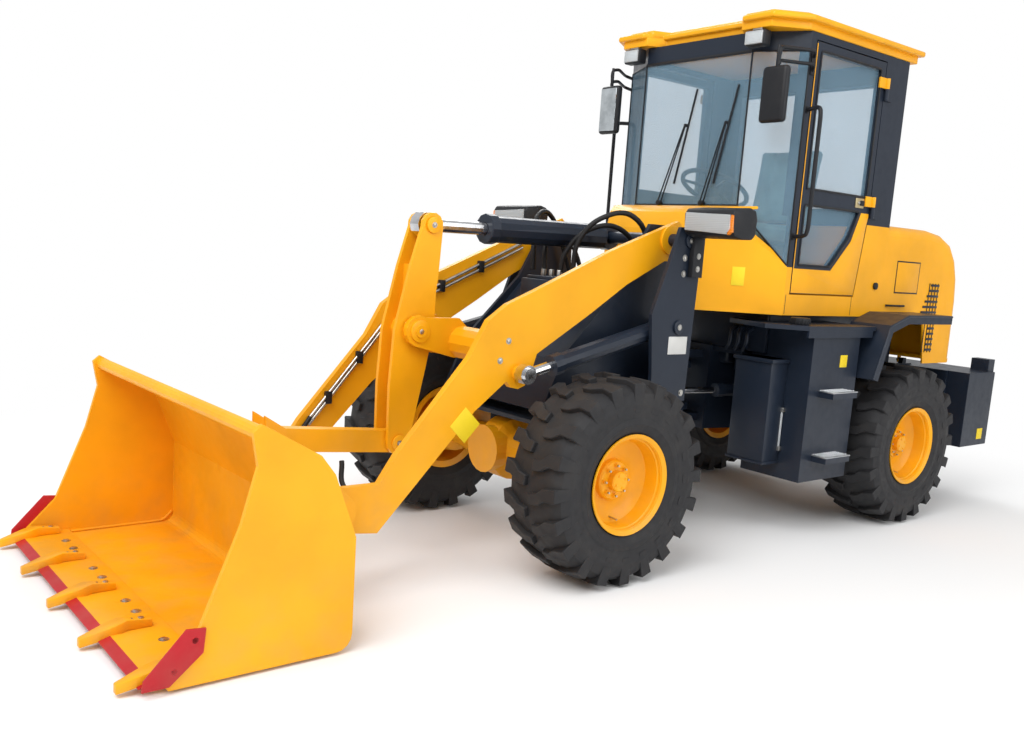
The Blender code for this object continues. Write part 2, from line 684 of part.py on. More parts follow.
def cylinder(name, base_pin, rod_pin, carrier, radius, rod_r, pin_r, eye_half, barrel_len, retract,
             across=(1, 0, 0),
             stub=None):
    """A hydraulic cylinder from its base pin to its rod pin: barrel and rod are separate bodies.

    The rod's eye holds its own pin, a stub of (from, to, radius) along the pin's axis.
    """
    across = Vector(across)
    base, head = Vector(base_pin), Vector(rod_pin)

    def eye(centre, outer):
        return rod(centre - across * eye_half, centre + across * eye_half, outer)

    barrel_body = empty(f"{name}_barrel_body", tuple(base), carrier)
    rod_body = empty(f"{name}_rod_body", tuple(head), barrel_body)
    eye_r = radius * 1.05
    mouth = towards(base, head, barrel_len)
    gland = towards(base, head, barrel_len - 0.050)
    shapes = [
        eye(base, eye_r), rod(towards(base, head, eye_r * 0.7), mouth, radius),
        rod(gland, towards(base, head, barrel_len + 0.004), radius * 1.14),
    ]
    hollow = rod(towards(base, head, eye_r + 0.030), towards(base, head, barrel_len + 0.02),
                 rod_r + PIN_RUN)
    bore = rod(base - across * (eye_half + 0.02), base + across * (eye_half + 0.02), bore_r(pin_r),
               steps=PIN_STEPS)
    node(f"{name}_barrel", "chassis_navy", barrel_body, shapes, [hollow, bore])
    inside = towards(base, head, eye_r + 0.040 + retract)
    rod_shapes = [eye(head, eye_r * 0.95), rod(inside, towards(head, base, eye_r * 0.6), rod_r)]
    if stub:
        rod_shapes.append(rod(head + across * stub[0], head + across * stub[1], stub[2]))
    node(f"{name}_rod", "bare_steel", rod_body, rod_shapes)


for label, side in (("left", 1), ("right", -1)):
    cylinder(
        f"lift_cylinder_{label}", (side * LIFT_X, *LIFT_BASE_PIN), (side * LIFT_X, *LIFT_ROD_PIN),
        FRONT, LIFT_R, LIFT_ROD_R, LIFT_PIN_R, LIFT_EYE_HALF, 0.745, 0.010, stub=(0, side * 0.038, 0.032),
    )
cylinder(
    "tilt_cylinder", (0, *BOOM_PIN), (0, *ROD_PIN), BOOM, TILT_R, TILT_ROD_R, BOOM_PIN_R, 0.034, 0.790,
    TILT_RETRACT,
    stub=(GAP - CHEEK_X[0], CHEEK_X[0] - GAP, LINK_PIN_R),
)
for label, side in (("left", 1), ("right", -1)):
    cylinder(
        f"steering_cylinder_{label}",
        (side * STEER_BASE[0], STEER_BASE[1], STEER_Z), (side * STEER_HEAD[0], STEER_HEAD[1], STEER_Z),
        REAR, STEER_R, STEER_ROD_R, STEER_PIN_R, STEER_EYE_HALF, 0.460, STEER_RETRACT, (0, 0, 1),
    )


# ---------------------------------------------------------------- rear frame and engine
def mirrored(outline, side):
    return [(a * side, b) for a, b in outline]


HOOD_LUG_X = (0.262, 0.278)
HOOD_PIN_R = 0.010
CAB_MOUNTS = ((0.285, 1.420), (0.300, 2.080))


def rear_frame():
    """Two rails, the hinge plates that narrow to the articulation, and what the rest stands on."""
    shapes = []
    cross_y = (TANK_Y[1] + GAP, TANK_Y[1] + 0.025)
    across = (-RAIL_X[0] - OVERLAP, RAIL_X[0] + OVERLAP)
    shapes.append(box((-0.500, 0.500), cross_y, (0.502, 0.978)))
    for side in (1, -1):
        shapes.append(box(sided(RAIL_X, side), (cross_y[0] + 0.002, FRAME_REAR_Y), RAIL_Z))
        shapes.append(box(
            sided((0.265, 0.405), side), (WHEELBASE - 0.08, WHEELBASE + 0.08), (AXLE_TOP, RAIL_Z[0] + 0.01),
        ))
        wing = [(0.125, 1.290), (0.228, cross_y[1] - 0.002), (0.250, cross_y[1] - 0.002), (0.147, 1.290)]
        shapes.append(plate(mirrored(wing, side), (0.500, 0.980), "top"))
        for x, y in CAB_MOUNTS:
            shapes.append(rod((side * x, y, RAIL_Z[1] - 0.010), (side * x, y, BODY_FLOOR_Z - GAP), 0.045,
                              steps=12))
        for z in ((0.680, 0.702), (0.778, 0.800)):
            shapes.append(box(sided((0.245, 0.372), side), (1.655, cross_y[0] + 0.004), z))
        base = (side * STEER_BASE[0], STEER_BASE[1])
        shapes.append(rod((*base, 0.690), (*base, 0.790), STEER_PIN_R, steps=PIN_STEPS))
        shapes.append(plate(
            [(HOOD_HINGE[0] - 0.040, RAIL_Z[1] - 0.010), (HOOD_HINGE[0] - 0.020, HOOD_HINGE[1] + 0.016),
             (HOOD_HINGE[0] + 0.010, HOOD_HINGE[1] + 0.016), (HOOD_HINGE[0] + 0.016, RAIL_Z[1] - 0.010)],
            sided((RAIL_X[0] + 0.001, RAIL_X[1] - 0.001), side),
        ))
        shapes.append(fine_pin(HOOD_HINGE, sided((0.255, RAIL_X[1] - 0.004), side), HOOD_PIN_R))
    shapes.append(box((-0.360, 0.360), (1.310, cross_y[0] + 0.004), (0.950, 0.976)))
    shapes.append(box((-0.152, 0.152), (1.285, 1.305), (0.500, 0.980)))
    shapes.append(box(across, (2.950, 2.975), (RAIL_Z[0] + 0.001, RAIL_Z[1] - 0.001)))
    shapes.append(box((-0.600, 0.600), (COUNTERWEIGHT_Y[0] - 0.018, COUNTERWEIGHT_Y[0] - GAP),
                      (0.645, 0.850)))
    for z in ((0.540, 0.585), (0.905, 0.950)):
        shapes.append(rod((0, PIVOT_Y, z[0]), (0, PIVOT_Y, z[1]), 0.110))
        shapes.append(box((-0.108, 0.108), (PIVOT_Y, 1.295), (z[0] + 0.0005, z[1] - 0.0005)))
    pivot_bores = [
        rod((0, PIVOT_Y, z - 0.05), (0, PIVOT_Y, z + 0.10), bore_r(ARTIC_PIN_R), steps=PIN_STEPS)
        for z in (0.530, 0.890)
    ]
    node("rear_frame", "chassis_navy", REAR, shapes, pivot_bores)


rear_frame()
node("engine_block", "chassis_navy", REAR, [box((-0.300, 0.300), (2.240, 2.920), (RAIL_Z[1] + GAP, 1.520))])


def counterweight():
    x = COUNTERWEIGHT_X
    outline = [
        (-x, COUNTERWEIGHT_Y[0]), (-x, COUNTERWEIGHT_Y[1] - 0.090), (-x + 0.120, COUNTERWEIGHT_Y[1]),
        (x - 0.120, COUNTERWEIGHT_Y[1]), (x, COUNTERWEIGHT_Y[1] - 0.090), (x, COUNTERWEIGHT_Y[0]),
    ]
    block = plate(outline, COUNTERWEIGHT_Z, "top")
    slots = both_sides(lambda s: box(
        sided((RAIL_X[0] - 0.010, RAIL_X[1] + 0.010), s), (3.0, FRAME_REAR_Y + GAP), (RAIL_Z[0] - 0.010,
                                                                                      0.900)))
    lamps = both_sides(lambda s: box(sided((0.600, 0.720), s), (3.420, 3.500),
                                     (COUNTERWEIGHT_Z[1] - 0.004, 0.930)))
    node("counterweight", "chassis_navy", REAR, [block] + lamps, slots)


counterweight()


# ---------------------------------------------------------------- tanks, steps, fenders
TREAD_REAR_Y = 1.880


def tank(label, side):
    """A side tank with its tread plate and two steps; the left one holds fuel and has the filler."""
    x = sided((TANK_X[0], TANK_X[1] - 0.020), side)
    body = box(x, TANK_Y, (TANK_Z[0], TANK_Z[1] - 0.001))
    top = plate(
        mirrored([(0.340, 1.200), (0.640, 1.110), (0.800, 1.265), (0.800, TREAD_REAR_Y),
                  (0.340, TREAD_REAR_Y)], side),
        (TANK_Z[1] - 0.004, TANK_Z[1] + 0.020), "top",
    )
    steps = [box(sided((0.760, 0.868), side), (1.440, 1.660), (z, z + 0.030)) for z in (0.430, 0.775)]
    lip = box(sided((0.786, 0.7995), side), (1.266, TREAD_REAR_Y - 0.025),
              (TANK_Z[1] - 0.040, TANK_Z[1] + 0.019))
    shapes = [body, top, lip] + steps
    if side > 0:
        foot, neck = TANK_Z[1] + 0.010, TANK_Z[1] + 0.054
        shapes.append(rod((0.700, 1.320, foot), (0.700, 1.320, neck), 0.048))
    node(f"{label}_" + ("fuel_tank" if side > 0 else "hydraulic_tank"), "chassis_navy", REAR, shapes)


def rear_fender(label, side):
    """A bent plate over the rear wheel, with a folded outer edge and a tab under the tread plate."""
    thick, fold = 0.010, 0.050
    line = [(1.790, 0.870), (1.905, 1.165), (2.080, 1.222), (2.560, 1.222)]
    inner = [(1.790 + thick, 0.866), (1.912, 1.157), (2.082, 1.212), (2.560, 1.212)]
    folded = [(1.790 + fold, 0.860), (1.935, 1.125), (2.090, 1.172), (2.560, 1.172)]
    skin = plate(line + inner[::-1], sided((BODY_X + RUN, 0.872), side))
    edge = plate(line + folded[::-1], sided((0.862, 0.8725), side))
    tab_top = TANK_Z[1] - 0.004 - GAP
    tab = box(sided((BODY_X + RUN, 0.780), side), (1.830, 1.902), (tab_top - 0.012, tab_top))
    node(f"rear_fender_{label}", "chassis_navy", REAR, [skin, edge, tab])


for label, side in (("left", 1), ("right", -1)):
    tank(label, side)
    rear_fender(label, side)


# ---------------------------------------------------------------- cab
def cab_plan(inset=0.0):
    """The cab's outline from above, moved inwards by inset."""
    x = BODY_X - inset
    front = CAB_FRONT_HALF - inset * 0.6
    return [
        (x, CAB_REAR_Y - inset), (x, PILLAR_A_Y[0] + inset * 0.3), (front, CAB_FRONT_Y + inset),
        (-front, CAB_FRONT_Y + inset), (-x, PILLAR_A_Y[0] + inset * 0.3), (-x, CAB_REAR_Y - inset),
    ]


def body_plan(inset=0.0):
    x = BODY_X - inset
    front = SCUTTLE_HALF - inset * 0.6
    return [
        (x, CAB_REAR_Y - inset), (x, PILLAR_A_Y[0] + inset * 0.3), (front, SCUTTLE_Y + inset),
        (-front, SCUTTLE_Y + inset), (-x, PILLAR_A_Y[0] + inset * 0.3), (-x, CAB_REAR_Y - inset),
    ]


def door_outline(grow=0.0):
    """(y, z) outline of a door; grow makes the opening round it."""
    return [
        (DOOR_Y[0] - grow, DOOR_SILL_Z - grow), (1.900 + grow, DOOR_SILL_Z - grow),
        (1.952 + grow, 1.690), (DOOR_Y[1] + grow, 1.740), (DOOR_Y[1] + grow, DOOR_TOP_Z + grow),
        (DOOR_Y[0] - grow, DOOR_TOP_Z + grow),
    ]


def corner_line(side, drop=0.0):
    """The sloping foot of a corner pane in the front view, from the windscreen to the pillar."""
    return [
        (side * (CAB_FRONT_HALF - 0.040), WINDSCREEN_Z - drop), (side * CAB_FRONT_HALF,
                                                                 WINDSCREEN_Z - drop),
        (side * BODY_X, CORNER_LOW_Z - drop), (side * (BODY_X + 0.040), CORNER_LOW_Z - drop),
    ]


def cab_lower_body():
    """The painted lower half of the cab: scuttle, sills, floor and rear quarters in one shell."""
    top = WINDSCREEN_Z + 0.015
    outer = plate(body_plan(), (BODY_FLOOR_Z, top), "top")
    cuts = [plate(body_plan(BODY_WALL), (BODY_FLOOR_Z + 0.045, top + 0.05), "top")]
    cuts.append(box((-0.7, 0.7), (PILLAR_A_Y[0] - 0.001, 2.3), (BODY_TOP_Z, top + 0.05)))
    for side in (1, -1):
        span = sided((BODY_X - BODY_WALL - 0.01, BODY_X + 0.01), side)
        cuts.append(plate(door_outline(RUN), span))
        cuts.append(box(span, (PILLAR_A_Y[0] - GAP, DOOR_Y[0]), (CORNER_LOW_Z - GAP, 1.8)))
        above = [(side * (BODY_X + 0.040), 1.9), (side * (CAB_FRONT_HALF - 0.040), 1.9)]
        cuts.append(plate(corner_line(side, GAP) + above, (0.800, PILLAR_A_Y[0]), "front"))
    lid = WINDSCREEN_Z - GAP
    brow = [(0.800, 1.480), (0.860, 1.480), (0.880, 1.600), (0.940, 1.680), (1.020, 1.715),
            (CAB_FRONT_Y - 0.005, lid),
            (1.300, lid), (1.300, 1.9), (0.800, 1.9)]
    cuts.append(plate(brow, (-0.7, 0.7)))
    node("cab_lower_body", "body_orange", REAR, [outer], cuts)


def hinge_leaf(side, low, high, reach):
    """A hinge knuckle on the door's axis with the strap that reaches along Y to reach."""
    x, y = DOOR_HINGE
    foot = (reach, reach + 0.040) if reach < y else (reach - 0.040, reach)
    return [
        rod((side * x, y, low), (side * x, y, high), HINGE_R),
        box(sided((BODY_X + 0.002, x - 0.002), side), tuple(sorted((y, reach))),
            (low + 0.0010, high - 0.0010)),
        box(sided((BODY_X - 0.005, BODY_X + 0.005), side), foot, (low + 0.0020, high - 0.0020)),
    ]


def cab_frame():
    base = BODY_TOP_Z + GAP
    outer = plate(cab_plan(), (base, CAB_TOP_Z), "top")
    hollow = plate(cab_plan(0.040), (base - 0.05, CAB_TOP_Z + 0.05), "top")
    cuts = [hollow]
    shapes = [outer]
    for side in (1, -1):
        span = sided((BODY_X - 0.06, BODY_X + 0.01), side)
        cuts.append(plate(door_outline(RUN), span))
        shapes.append(box(sided((BODY_X - 0.034, BODY_X - 0.002), side),
                          (PILLAR_A_Y[0] - 0.010, DOOR_Y[0] + 0.010), (CORNER_LOW_Z, base + 0.01)))
        for foot, split, _ in HINGE_Z:
            shapes += hinge_leaf(side, foot, split - GAP, DOOR_HINGE[1] + 0.060)
    cuts.append(box((-BODY_X - 0.1, BODY_X + 0.1), (0.9, PILLAR_A_Y[0]), (1.300, 2.520)))
    cuts.append(box((-0.500, 0.500), (2.0, 2.3), (1.790, 2.500)))
    node("cab_frame", "chassis_navy", REAR, shapes, cuts)


def cab_roof():
    x, front, rear = 0.655, 1.050, 2.285
    outline = [
        (x, rear), (x, front + 0.180), (0.540, front), (0.340, front), (0.290, 1.160),
        (-0.290, 1.160), (-0.340, front), (-0.540, front), (-x, front + 0.180), (-x, rear),
    ]
    slab = plate(outline, (CAB_TOP_Z + GAP, ROOF_TOP_Z - 0.030), "top")
    crown = [(a * 0.93, 1.60 + (b - 1.60) * 0.93) for a, b in outline]
    top = plate(crown, (ROOF_TOP_Z - 0.034, ROOF_TOP_Z), "top")
    node("cab_roof", "body_orange", REAR, [slab, top])


def windscreen():
    """Three flat panes in one: a wide front and two corners that reach down to the pillars."""
    t = 0.006
    plan = cab_plan()
    inner = cab_plan(t * 1.2)
    ring = [plan[1], plan[2], plan[3], plan[4], inner[4], inner[3], inner[2], inner[1]]
    pane = plate(ring, (CORNER_LOW_Z, 2.517), "top")
    cuts = [box((-1, 1), (PILLAR_A_Y[0] - GAP, 1.5), (1.3, 2.6))]
    cuts.append(box((-CAB_FRONT_HALF, CAB_FRONT_HALF), (0.9, CAB_FRONT_Y + 0.1), (1.3, WINDSCREEN_Z)))
    for side in (1, -1):
        below = [(side * (BODY_X + 0.040), 1.300), (side * (CAB_FRONT_HALF - 0.040), 1.300)]
        cuts.append(plate(corner_line(side) + below, (0.800, 1.400), "front"))
    node("windscreen", "window_glass", REAR, [pane], cuts)


def door(label, side):
    body = empty(f"{label}_door_body", (side * DOOR_HINGE[0], DOOR_HINGE[1], 2.0), REAR)
    span = sided((BODY_X - BODY_WALL, BODY_X), side)
    wide = sided((BODY_X - BODY_WALL - 0.01, BODY_X + 0.01), side)
    upper = [(1.365, 1.850), (1.915, 1.850), (1.915, 2.525), (1.365, 2.525)]
    lower = [(1.365, 1.460), (1.640, 1.460), (1.790, 1.620), (1.860, 1.760), (1.365, 1.760)]
    leaf = plate(door_outline(), span)
    shapes = [leaf]
    for _, split, top in HINGE_Z:
        shapes += hinge_leaf(side, split, top, DOOR_HINGE[1] - 0.060)
    node(f"{label}_door", "chassis_navy", body, shapes, [plate(upper, wide), plate(lower, wide)])
    pane = sided((BODY_X - 0.020, BODY_X - 0.014), side)
    panes = [plate([(y + (GAP if y < 1.6 else -GAP), z + (GAP if z < 2.2 else -GAP)) for y, z in upper],
                   pane)]
    node(f"{label}_door_glass", "window_glass", body, panes)


cab_lower_body()
cab_frame()
cab_roof()
windscreen()
node("rear_window", "window_glass", REAR, [box((-0.500 + GAP, 0.500 - GAP), (2.160, 2.166),
                                               (1.790 + GAP, 2.500 - GAP))])
door("left", 1)
door("right", -1)


def seat():
    floor = BODY_FLOOR_Z + 0.045 + GAP
    cushion = box((-0.240, 0.240), (1.480, 1.960), (1.560, 1.680))
    back = plate([(1.900, 1.640), (2.020, 1.640), (2.110, 2.180), (2.010, 2.200)], (-0.230, 0.230))
    base = box((-0.180, 0.180), (1.560, 1.900), (floor, 1.570))
    node("seat", "seat_cover", REAR, [cushion, back, base])


def steering():
    floor = BODY_FLOOR_Z + 0.045 + GAP
    column = plate([(1.150, floor), (1.290, floor), (1.300, 1.640), (1.350, 1.780), (1.310, 1.800),
                    (1.200, 1.660)], (-0.090, 0.090))
    node("steering_column", "dark_plastic", REAR, [column])
    centre = Vector((0.0, 1.372, 1.850))
    tilt = Matrix.Rotation(-math.atan(0.5), 4, "X")
    ring = turned([(0.190 + 0.014 * math.cos(a), 0.014 * math.sin(a)) for a in
                   [math.radians(60 * i) for i in range(6)]], (0, 0, 0), closed=True)
    ring.data.transform(Matrix.Rotation(math.radians(-90), 4, "Y"))
    spokes = [rod((0, 0, 0), (0.188 * math.cos(math.radians(a)), 0.188 * math.sin(math.radians(a)), 0),
                  0.010, steps=8)
              for a in (90, 210, 330)]
    hub = rod((0, 0, -0.0722), (0, 0, 0.012), 0.032)
    for shape in [ring, hub] + spokes:
        shape.data.transform(Matrix.Translation(centre) @ tilt)
    node("steering_wheel", "dark_plastic", REAR, [ring, hub] + spokes)


seat()
steering()


def mirror(label, side):
    x = 0.580
    case = box(sided((x - 0.055, x + 0.055), side), (1.045, 1.085), (2.150, 2.410))
    arm = tube([(side * (BODY_X - 0.010), 1.300, 2.490), (side * (BODY_X + 0.03), 1.270, 2.500),
                (side * x, 1.090, 2.500), (side * x, 1.070, 2.480), (side * x, 1.066, 2.400)], 0.010)
    case.name = "mirror_case"
    post_gap = box(sided((0.3, BODY_X + GAP), side), (1.2, 1.4), (2.4, 2.6))
    node(f"mirror_{label}", "dark_plastic", REAR, [case, arm], [post_gap])


def roof_lamp(label, side):
    shell = box(sided((0.370, 0.490), side), (1.055, 1.125), (2.525, CAB_TOP_Z))
    node(f"roof_lamp_{label}", "dark_plastic", REAR, [shell])


for label, side in (("left", 1), ("right", -1)):
    mirror(label, side)
    roof_lamp(label, side)


# ---------------------------------------------------------------- hood
def hood():
    x, skin = BODY_X - 0.005, HOOD_SKIN
    rear = HOOD_Y[1]
    side_line = [
        (HOOD_Y[0], 1.195), (2.700, 1.195), (2.760, HOOD_LOW_Z), (rear, HOOD_LOW_Z),
        (rear - 0.020, 1.400), (rear - 0.110, 1.600), (rear - 0.240, HOOD_TOP_Z - 0.020),
        (rear - 0.420, HOOD_TOP_Z), (HOOD_Y[0], HOOD_TOP_Z),
    ]
    inner_line = [
        (HOOD_Y[0] - 0.05, 0.800), (rear - skin, 0.800), (rear - skin - 0.020, 1.398),
        (rear - skin - 0.108, 1.590), (rear - 0.246, HOOD_TOP_Z - 0.034),
        (rear - 0.424, HOOD_TOP_Z - skin), (HOOD_Y[0] - 0.05, HOOD_TOP_Z - skin),
    ]
    outer = plate(side_line, (-x, x))
    hollow = plate(inner_line, (-x + skin, x - skin))
    tongue = [
        (rear - 0.004, HOOD_LOW_Z + 0.060), (rear - 0.030, HOOD_LOW_Z + 0.060),
        (HOOD_HINGE[0] - 0.020, HOOD_HINGE[1] - 0.010), (HOOD_HINGE[0],
                                                         HOOD_HINGE[1] - 0.018), (rear - 0.004,
                                                                                  HOOD_HINGE[1] - 0.010),
    ]
    lugs = both_sides(lambda s: plate(tongue, sided(HOOD_LUG_X, s)))
    shell = node("hood", "body_orange", HOOD, [outer], [hollow])
    join_after(shell, lugs, HOOD)
    bore = fine_bore(HOOD_HINGE, (-0.300, 0.300), HOOD_PIN_R)
    join_after(shell, [bore], HOOD, "DIFFERENCE")


hood()
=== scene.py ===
"""A compact articulated wheel loader, dressed over its fixed frame.

Metres, +Z up, the machine's nose towards -Y and its left side towards +X. Each
sub-assembly is a class that builds its own pieces, dresses them and hangs them
on the body that carries them.
"""

import logging
import math
from dataclasses import dataclass, field
from enum import Enum
from typing import Callable, Iterable, Sequence

import bpy
from mathutils import Matrix, Vector


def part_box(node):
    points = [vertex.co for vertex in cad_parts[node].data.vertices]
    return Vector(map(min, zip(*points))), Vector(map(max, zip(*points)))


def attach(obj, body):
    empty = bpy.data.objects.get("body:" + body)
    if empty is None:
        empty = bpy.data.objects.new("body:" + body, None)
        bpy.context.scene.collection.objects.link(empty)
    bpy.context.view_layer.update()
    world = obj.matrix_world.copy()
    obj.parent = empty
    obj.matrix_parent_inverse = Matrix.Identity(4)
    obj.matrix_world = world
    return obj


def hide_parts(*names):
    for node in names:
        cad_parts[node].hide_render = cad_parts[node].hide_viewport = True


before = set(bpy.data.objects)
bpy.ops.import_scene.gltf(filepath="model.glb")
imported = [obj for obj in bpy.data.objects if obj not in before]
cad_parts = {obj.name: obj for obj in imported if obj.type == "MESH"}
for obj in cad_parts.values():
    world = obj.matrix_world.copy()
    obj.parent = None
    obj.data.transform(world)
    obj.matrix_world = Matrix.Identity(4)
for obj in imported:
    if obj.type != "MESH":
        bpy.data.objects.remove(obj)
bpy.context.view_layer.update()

MERGE = 0.00001
UP = Vector((0, 0, 1))
Piece = bpy.types.Object
Socket = bpy.types.NodeSocket
Point = tuple[float, float, float]
Pair = tuple[float, float]
LOG = logging.getLogger("wheel_loader")


def axle_y() -> float:
    """Y of the front axle in the frame, from the front tyre's box."""
    low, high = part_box("front_left_tyre")
    return (low[1] + high[1]) / 2


AXLE_Y = axle_y()


def at(x: float, y: float, z: float) -> Vector:
    """A place given from the front axle on the ground, in the frame.

    Args:
        x: metres to the machine's left.
        y: metres behind the front axle.
        z: metres above the ground.

    Returns:
        The same place in the frame.
    """
    return Vector((x, y + AXLE_Y, z))


def across(sign: int, near: float, far: float) -> Pair:
    """Two distances from the middle on one side, in ascending X."""
    low, high = sorted((sign * near, sign * far))
    return low, high


class Side(Enum):
    """The machine's two sides, by the sign of X."""

    LEFT = 1
    RIGHT = -1

    @property
    def label(self) -> str:
        """The side's name in piece names."""
        return self.name.lower()


SIGNS = tuple(side.value for side in Side)


class Plane(Enum):
    """The plane an outline is drawn in: its two axes and the one it is thick along."""

    SIDE = ((0, 1, 0), (0, 0, 1), (1, 0, 0))
    FRONT = ((1, 0, 0), (0, 0, 1), (0, -1, 0))
    TOP = ((1, 0, 0), (0, 1, 0), (0, 0, 1))


# ---------------------------------------------------------------- finishes
class Nodes:
    """A short way to write a material's node tree."""

    def __init__(self, name: str) -> None:
        """Start a node material called name."""
        self.material = bpy.data.materials.new(name)
        self.material.use_nodes = True
        self.tree = self.material.node_tree
        self.shader = self.tree.nodes["Principled BSDF"]
        self.coords = self.tree.nodes.new("ShaderNodeTexCoord").outputs["Object"]

    def add(self, kind: str, **sockets: object) -> bpy.types.Node:
        """Add a node and set or link its inputs.

        Args:
            kind: the node's type after "ShaderNode".
            sockets: input name, with _ for a space, to a value or a linked output.

        Returns:
            The new node.
        """
        node = self.tree.nodes.new("ShaderNode" + kind)
        for key, value in sockets.items():
            socket = node.inputs[key.replace("_", " ")]
            if isinstance(value, Socket):
                self.tree.links.new(value, socket)
            else:
                socket.default_value = value
        return node

    def noise(self, scale: float, detail: float = 3.0) -> Socket:
        """A noise value on object coordinates."""
        return self.add("TexNoise", Vector=self.coords, Scale=scale, Detail=detail).outputs["Fac"]

    def patchy(self, scale: float, detail: float, low: Pair, high: Pair) -> Socket:
        """Noise whose values in the range low are stretched over the range high."""
        return self.spread(self.noise(scale, detail), low, high)

    def spread(self, value: Socket, low: Pair, high: Pair) -> Socket:
        """Map value from the range low to the range high."""
        node = self.add("MapRange", Value=value)
        node.clamp = True
        for key, number in zip(("From Min", "From Max", "To Min", "To Max"), (*low, *high)):
            node.inputs[key].default_value = number
        return node.outputs["Result"]

    def blend(self, amount: Socket, first: object, second: object) -> Socket:
        """Mix two colours by amount."""
        node = self.tree.nodes.new("ShaderNodeMix")
        node.data_type = "RGBA"
        self.tree.links.new(amount, node.inputs[0])
        for socket, value in ((node.inputs[6], first), (node.inputs[7], second)):
            if isinstance(value, Socket):
                self.tree.links.new(value, socket)
            else:
                socket.default_value = (*value, 1.0)
        return node.outputs[2]

    def product(self, first: Socket, second: Socket) -> Socket:
        """Multiply two values."""
        node = self.add("Math")
        node.operation = "MULTIPLY"
        self.tree.links.new(first, node.inputs[0])
        self.tree.links.new(second, node.inputs[1])
        return node.outputs[0]

    def preset(self, **values: float) -> None:
        """Set the shader's inputs, whose names are given with _ for a space."""
        for key, value in values.items():
            self.shader.inputs[key.replace("_", " ")].default_value = value

    def link(self, output: Socket, name: str) -> None:
        """Link an output to the shader's input of that name."""
        self.tree.links.new(output, self.shader.inputs[name])

    def bump(self, height: Socket, strength: float, distance: float) -> None:
        """Give the shader a bump from height."""
        node = self.add("Bump", Height=height, Strength=strength, Distance=distance)
        self.link(node.outputs["Normal"], "Normal")


DUST = (0.30, 0.24, 0.17)


@dataclass(frozen=True)
class Paint:
    """A sprayed coat with a faint mottle, orange peel and dust low down."""

    name: str
    colour: Point
    shade: float = 0.86
    roughness: float = 0.32
    dust: float = 0.25
    dust_height: float = 0.7
    peel: float = 0.05
    metallic: float = 0.0
    coat: float = 0.10
    sheen: float = 0.30

    def make(self) -> bpy.types.Material:
        """Build the material."""
        nodes = Nodes(self.name)
        darker = tuple(channel * self.shade for channel in self.colour)
        mottle = nodes.patchy(3.0, 5.0, (0.35, 0.65), (0.0, 1.0))
        colour = nodes.blend(mottle, self.colour, darker)
        height = nodes.add("SeparateXYZ", Vector=nodes.coords).outputs["Z"]
        low_down = nodes.spread(height, (0.0, self.dust_height), (self.dust, 0.0))
        grime = nodes.patchy(9.0, 8.0, (0.42, 0.70), (0.0, 1.0))
        nodes.link(nodes.blend(nodes.product(low_down, grime), colour, DUST), "Base Color")
        nodes.link(nodes.patchy(22.0, 4.0, (0.3, 0.7), (self.roughness, self.roughness + 0.14)), "Roughness")
        nodes.bump(nodes.noise(420.0, 2.0), self.peel, 0.0006)
        nodes.preset(
            Metallic=self.metallic, Coat_Weight=self.coat, Coat_Roughness=0.08, Specular_IOR_Level=self.sheen)
        return nodes.material


@dataclass(frozen=True)
class Metal:
    """Bare or plated metal with fine streaks."""

    name: str
    colour: Point
    roughness: float = 0.22
    streaks: float = 90.0

    def make(self) -> bpy.types.Material:
        """Build the material."""
        nodes = Nodes(self.name)
        dull = tuple(channel * 0.72 for channel in self.colour)
        patch = nodes.patchy(14.0, 6.0, (0.4, 0.65), (0.0, 1.0))
        nodes.link(nodes.blend(patch, self.colour, dull), "Base Color")
        nodes.link(
            nodes.patchy(self.streaks, 2.0, (0.3, 0.7), (self.roughness, self.roughness + 0.12)),
            "Roughness",
        )
        nodes.bump(nodes.noise(self.streaks * 4.0, 2.0), 0.06, 0.0004)
        nodes.preset(Metallic=1.0)
        return nodes.material


@dataclass(frozen=True)
class Moulded:
    """Rubber or plastic with a fine grain and dust in patches."""

    name: str
    colour: Point
    dusty: Point = (0.06, 0.055, 0.05)
    dust: float = 0.30
    roughness: float = 0.62
    grain: float = 0.18
    grain_scale: float = 260.0

    def make(self) -> bpy.types.Material:
        """Build the material."""
        nodes = Nodes(self.name)
        patch = nodes.patchy(7.0, 8.0, (0.48, 0.74), (0.0, self.dust))
        nodes.link(nodes.blend(patch, self.colour, self.dusty), "Base Color")
        nodes.link(
            nodes.patchy(30.0, 3.0, (0.3, 0.7), (self.roughness - 0.06, self.roughness + 0.10)),
            "Roughness",
        )
        nodes.bump(nodes.noise(self.grain_scale, 3.0), self.grain, 0.0008)
        nodes.preset(Specular_IOR_Level=0.3)
        return nodes.material


@dataclass(frozen=True)
class Clear:
    """Window or lamp glass; a lamp's lens has moulded ribs."""

    name: str
    colour: Point
    alpha: float = 0.30
    ribs: float = 0.0
    roughness: float = 0.03

    def make(self) -> bpy.types.Material:
        """Build the material."""
        nodes = Nodes(self.name)
        smear = nodes.patchy(2.5, 4.0, (0.3, 0.7), (0.0, 1.0))
        nodes.link(nodes.blend(smear, self.colour, tuple(c * 0.88 for c in self.colour)), "Base Color")
        nodes.link(nodes.patchy(6.0, 5.0, (0.3, 0.8), (self.roughness, self.roughness + 0.06)), "Roughness")
        nodes.preset(Alpha=self.alpha, IOR=1.5)
        if self.ribs:
            wave = nodes.add("TexWave", Vector=nodes.coords, Scale=self.ribs)
            wave.bands_direction = "Z"
            nodes.bump(wave.outputs["Fac"], 0.6, 0.002)
        nodes.material.surface_render_method = "BLENDED"
        return nodes.material


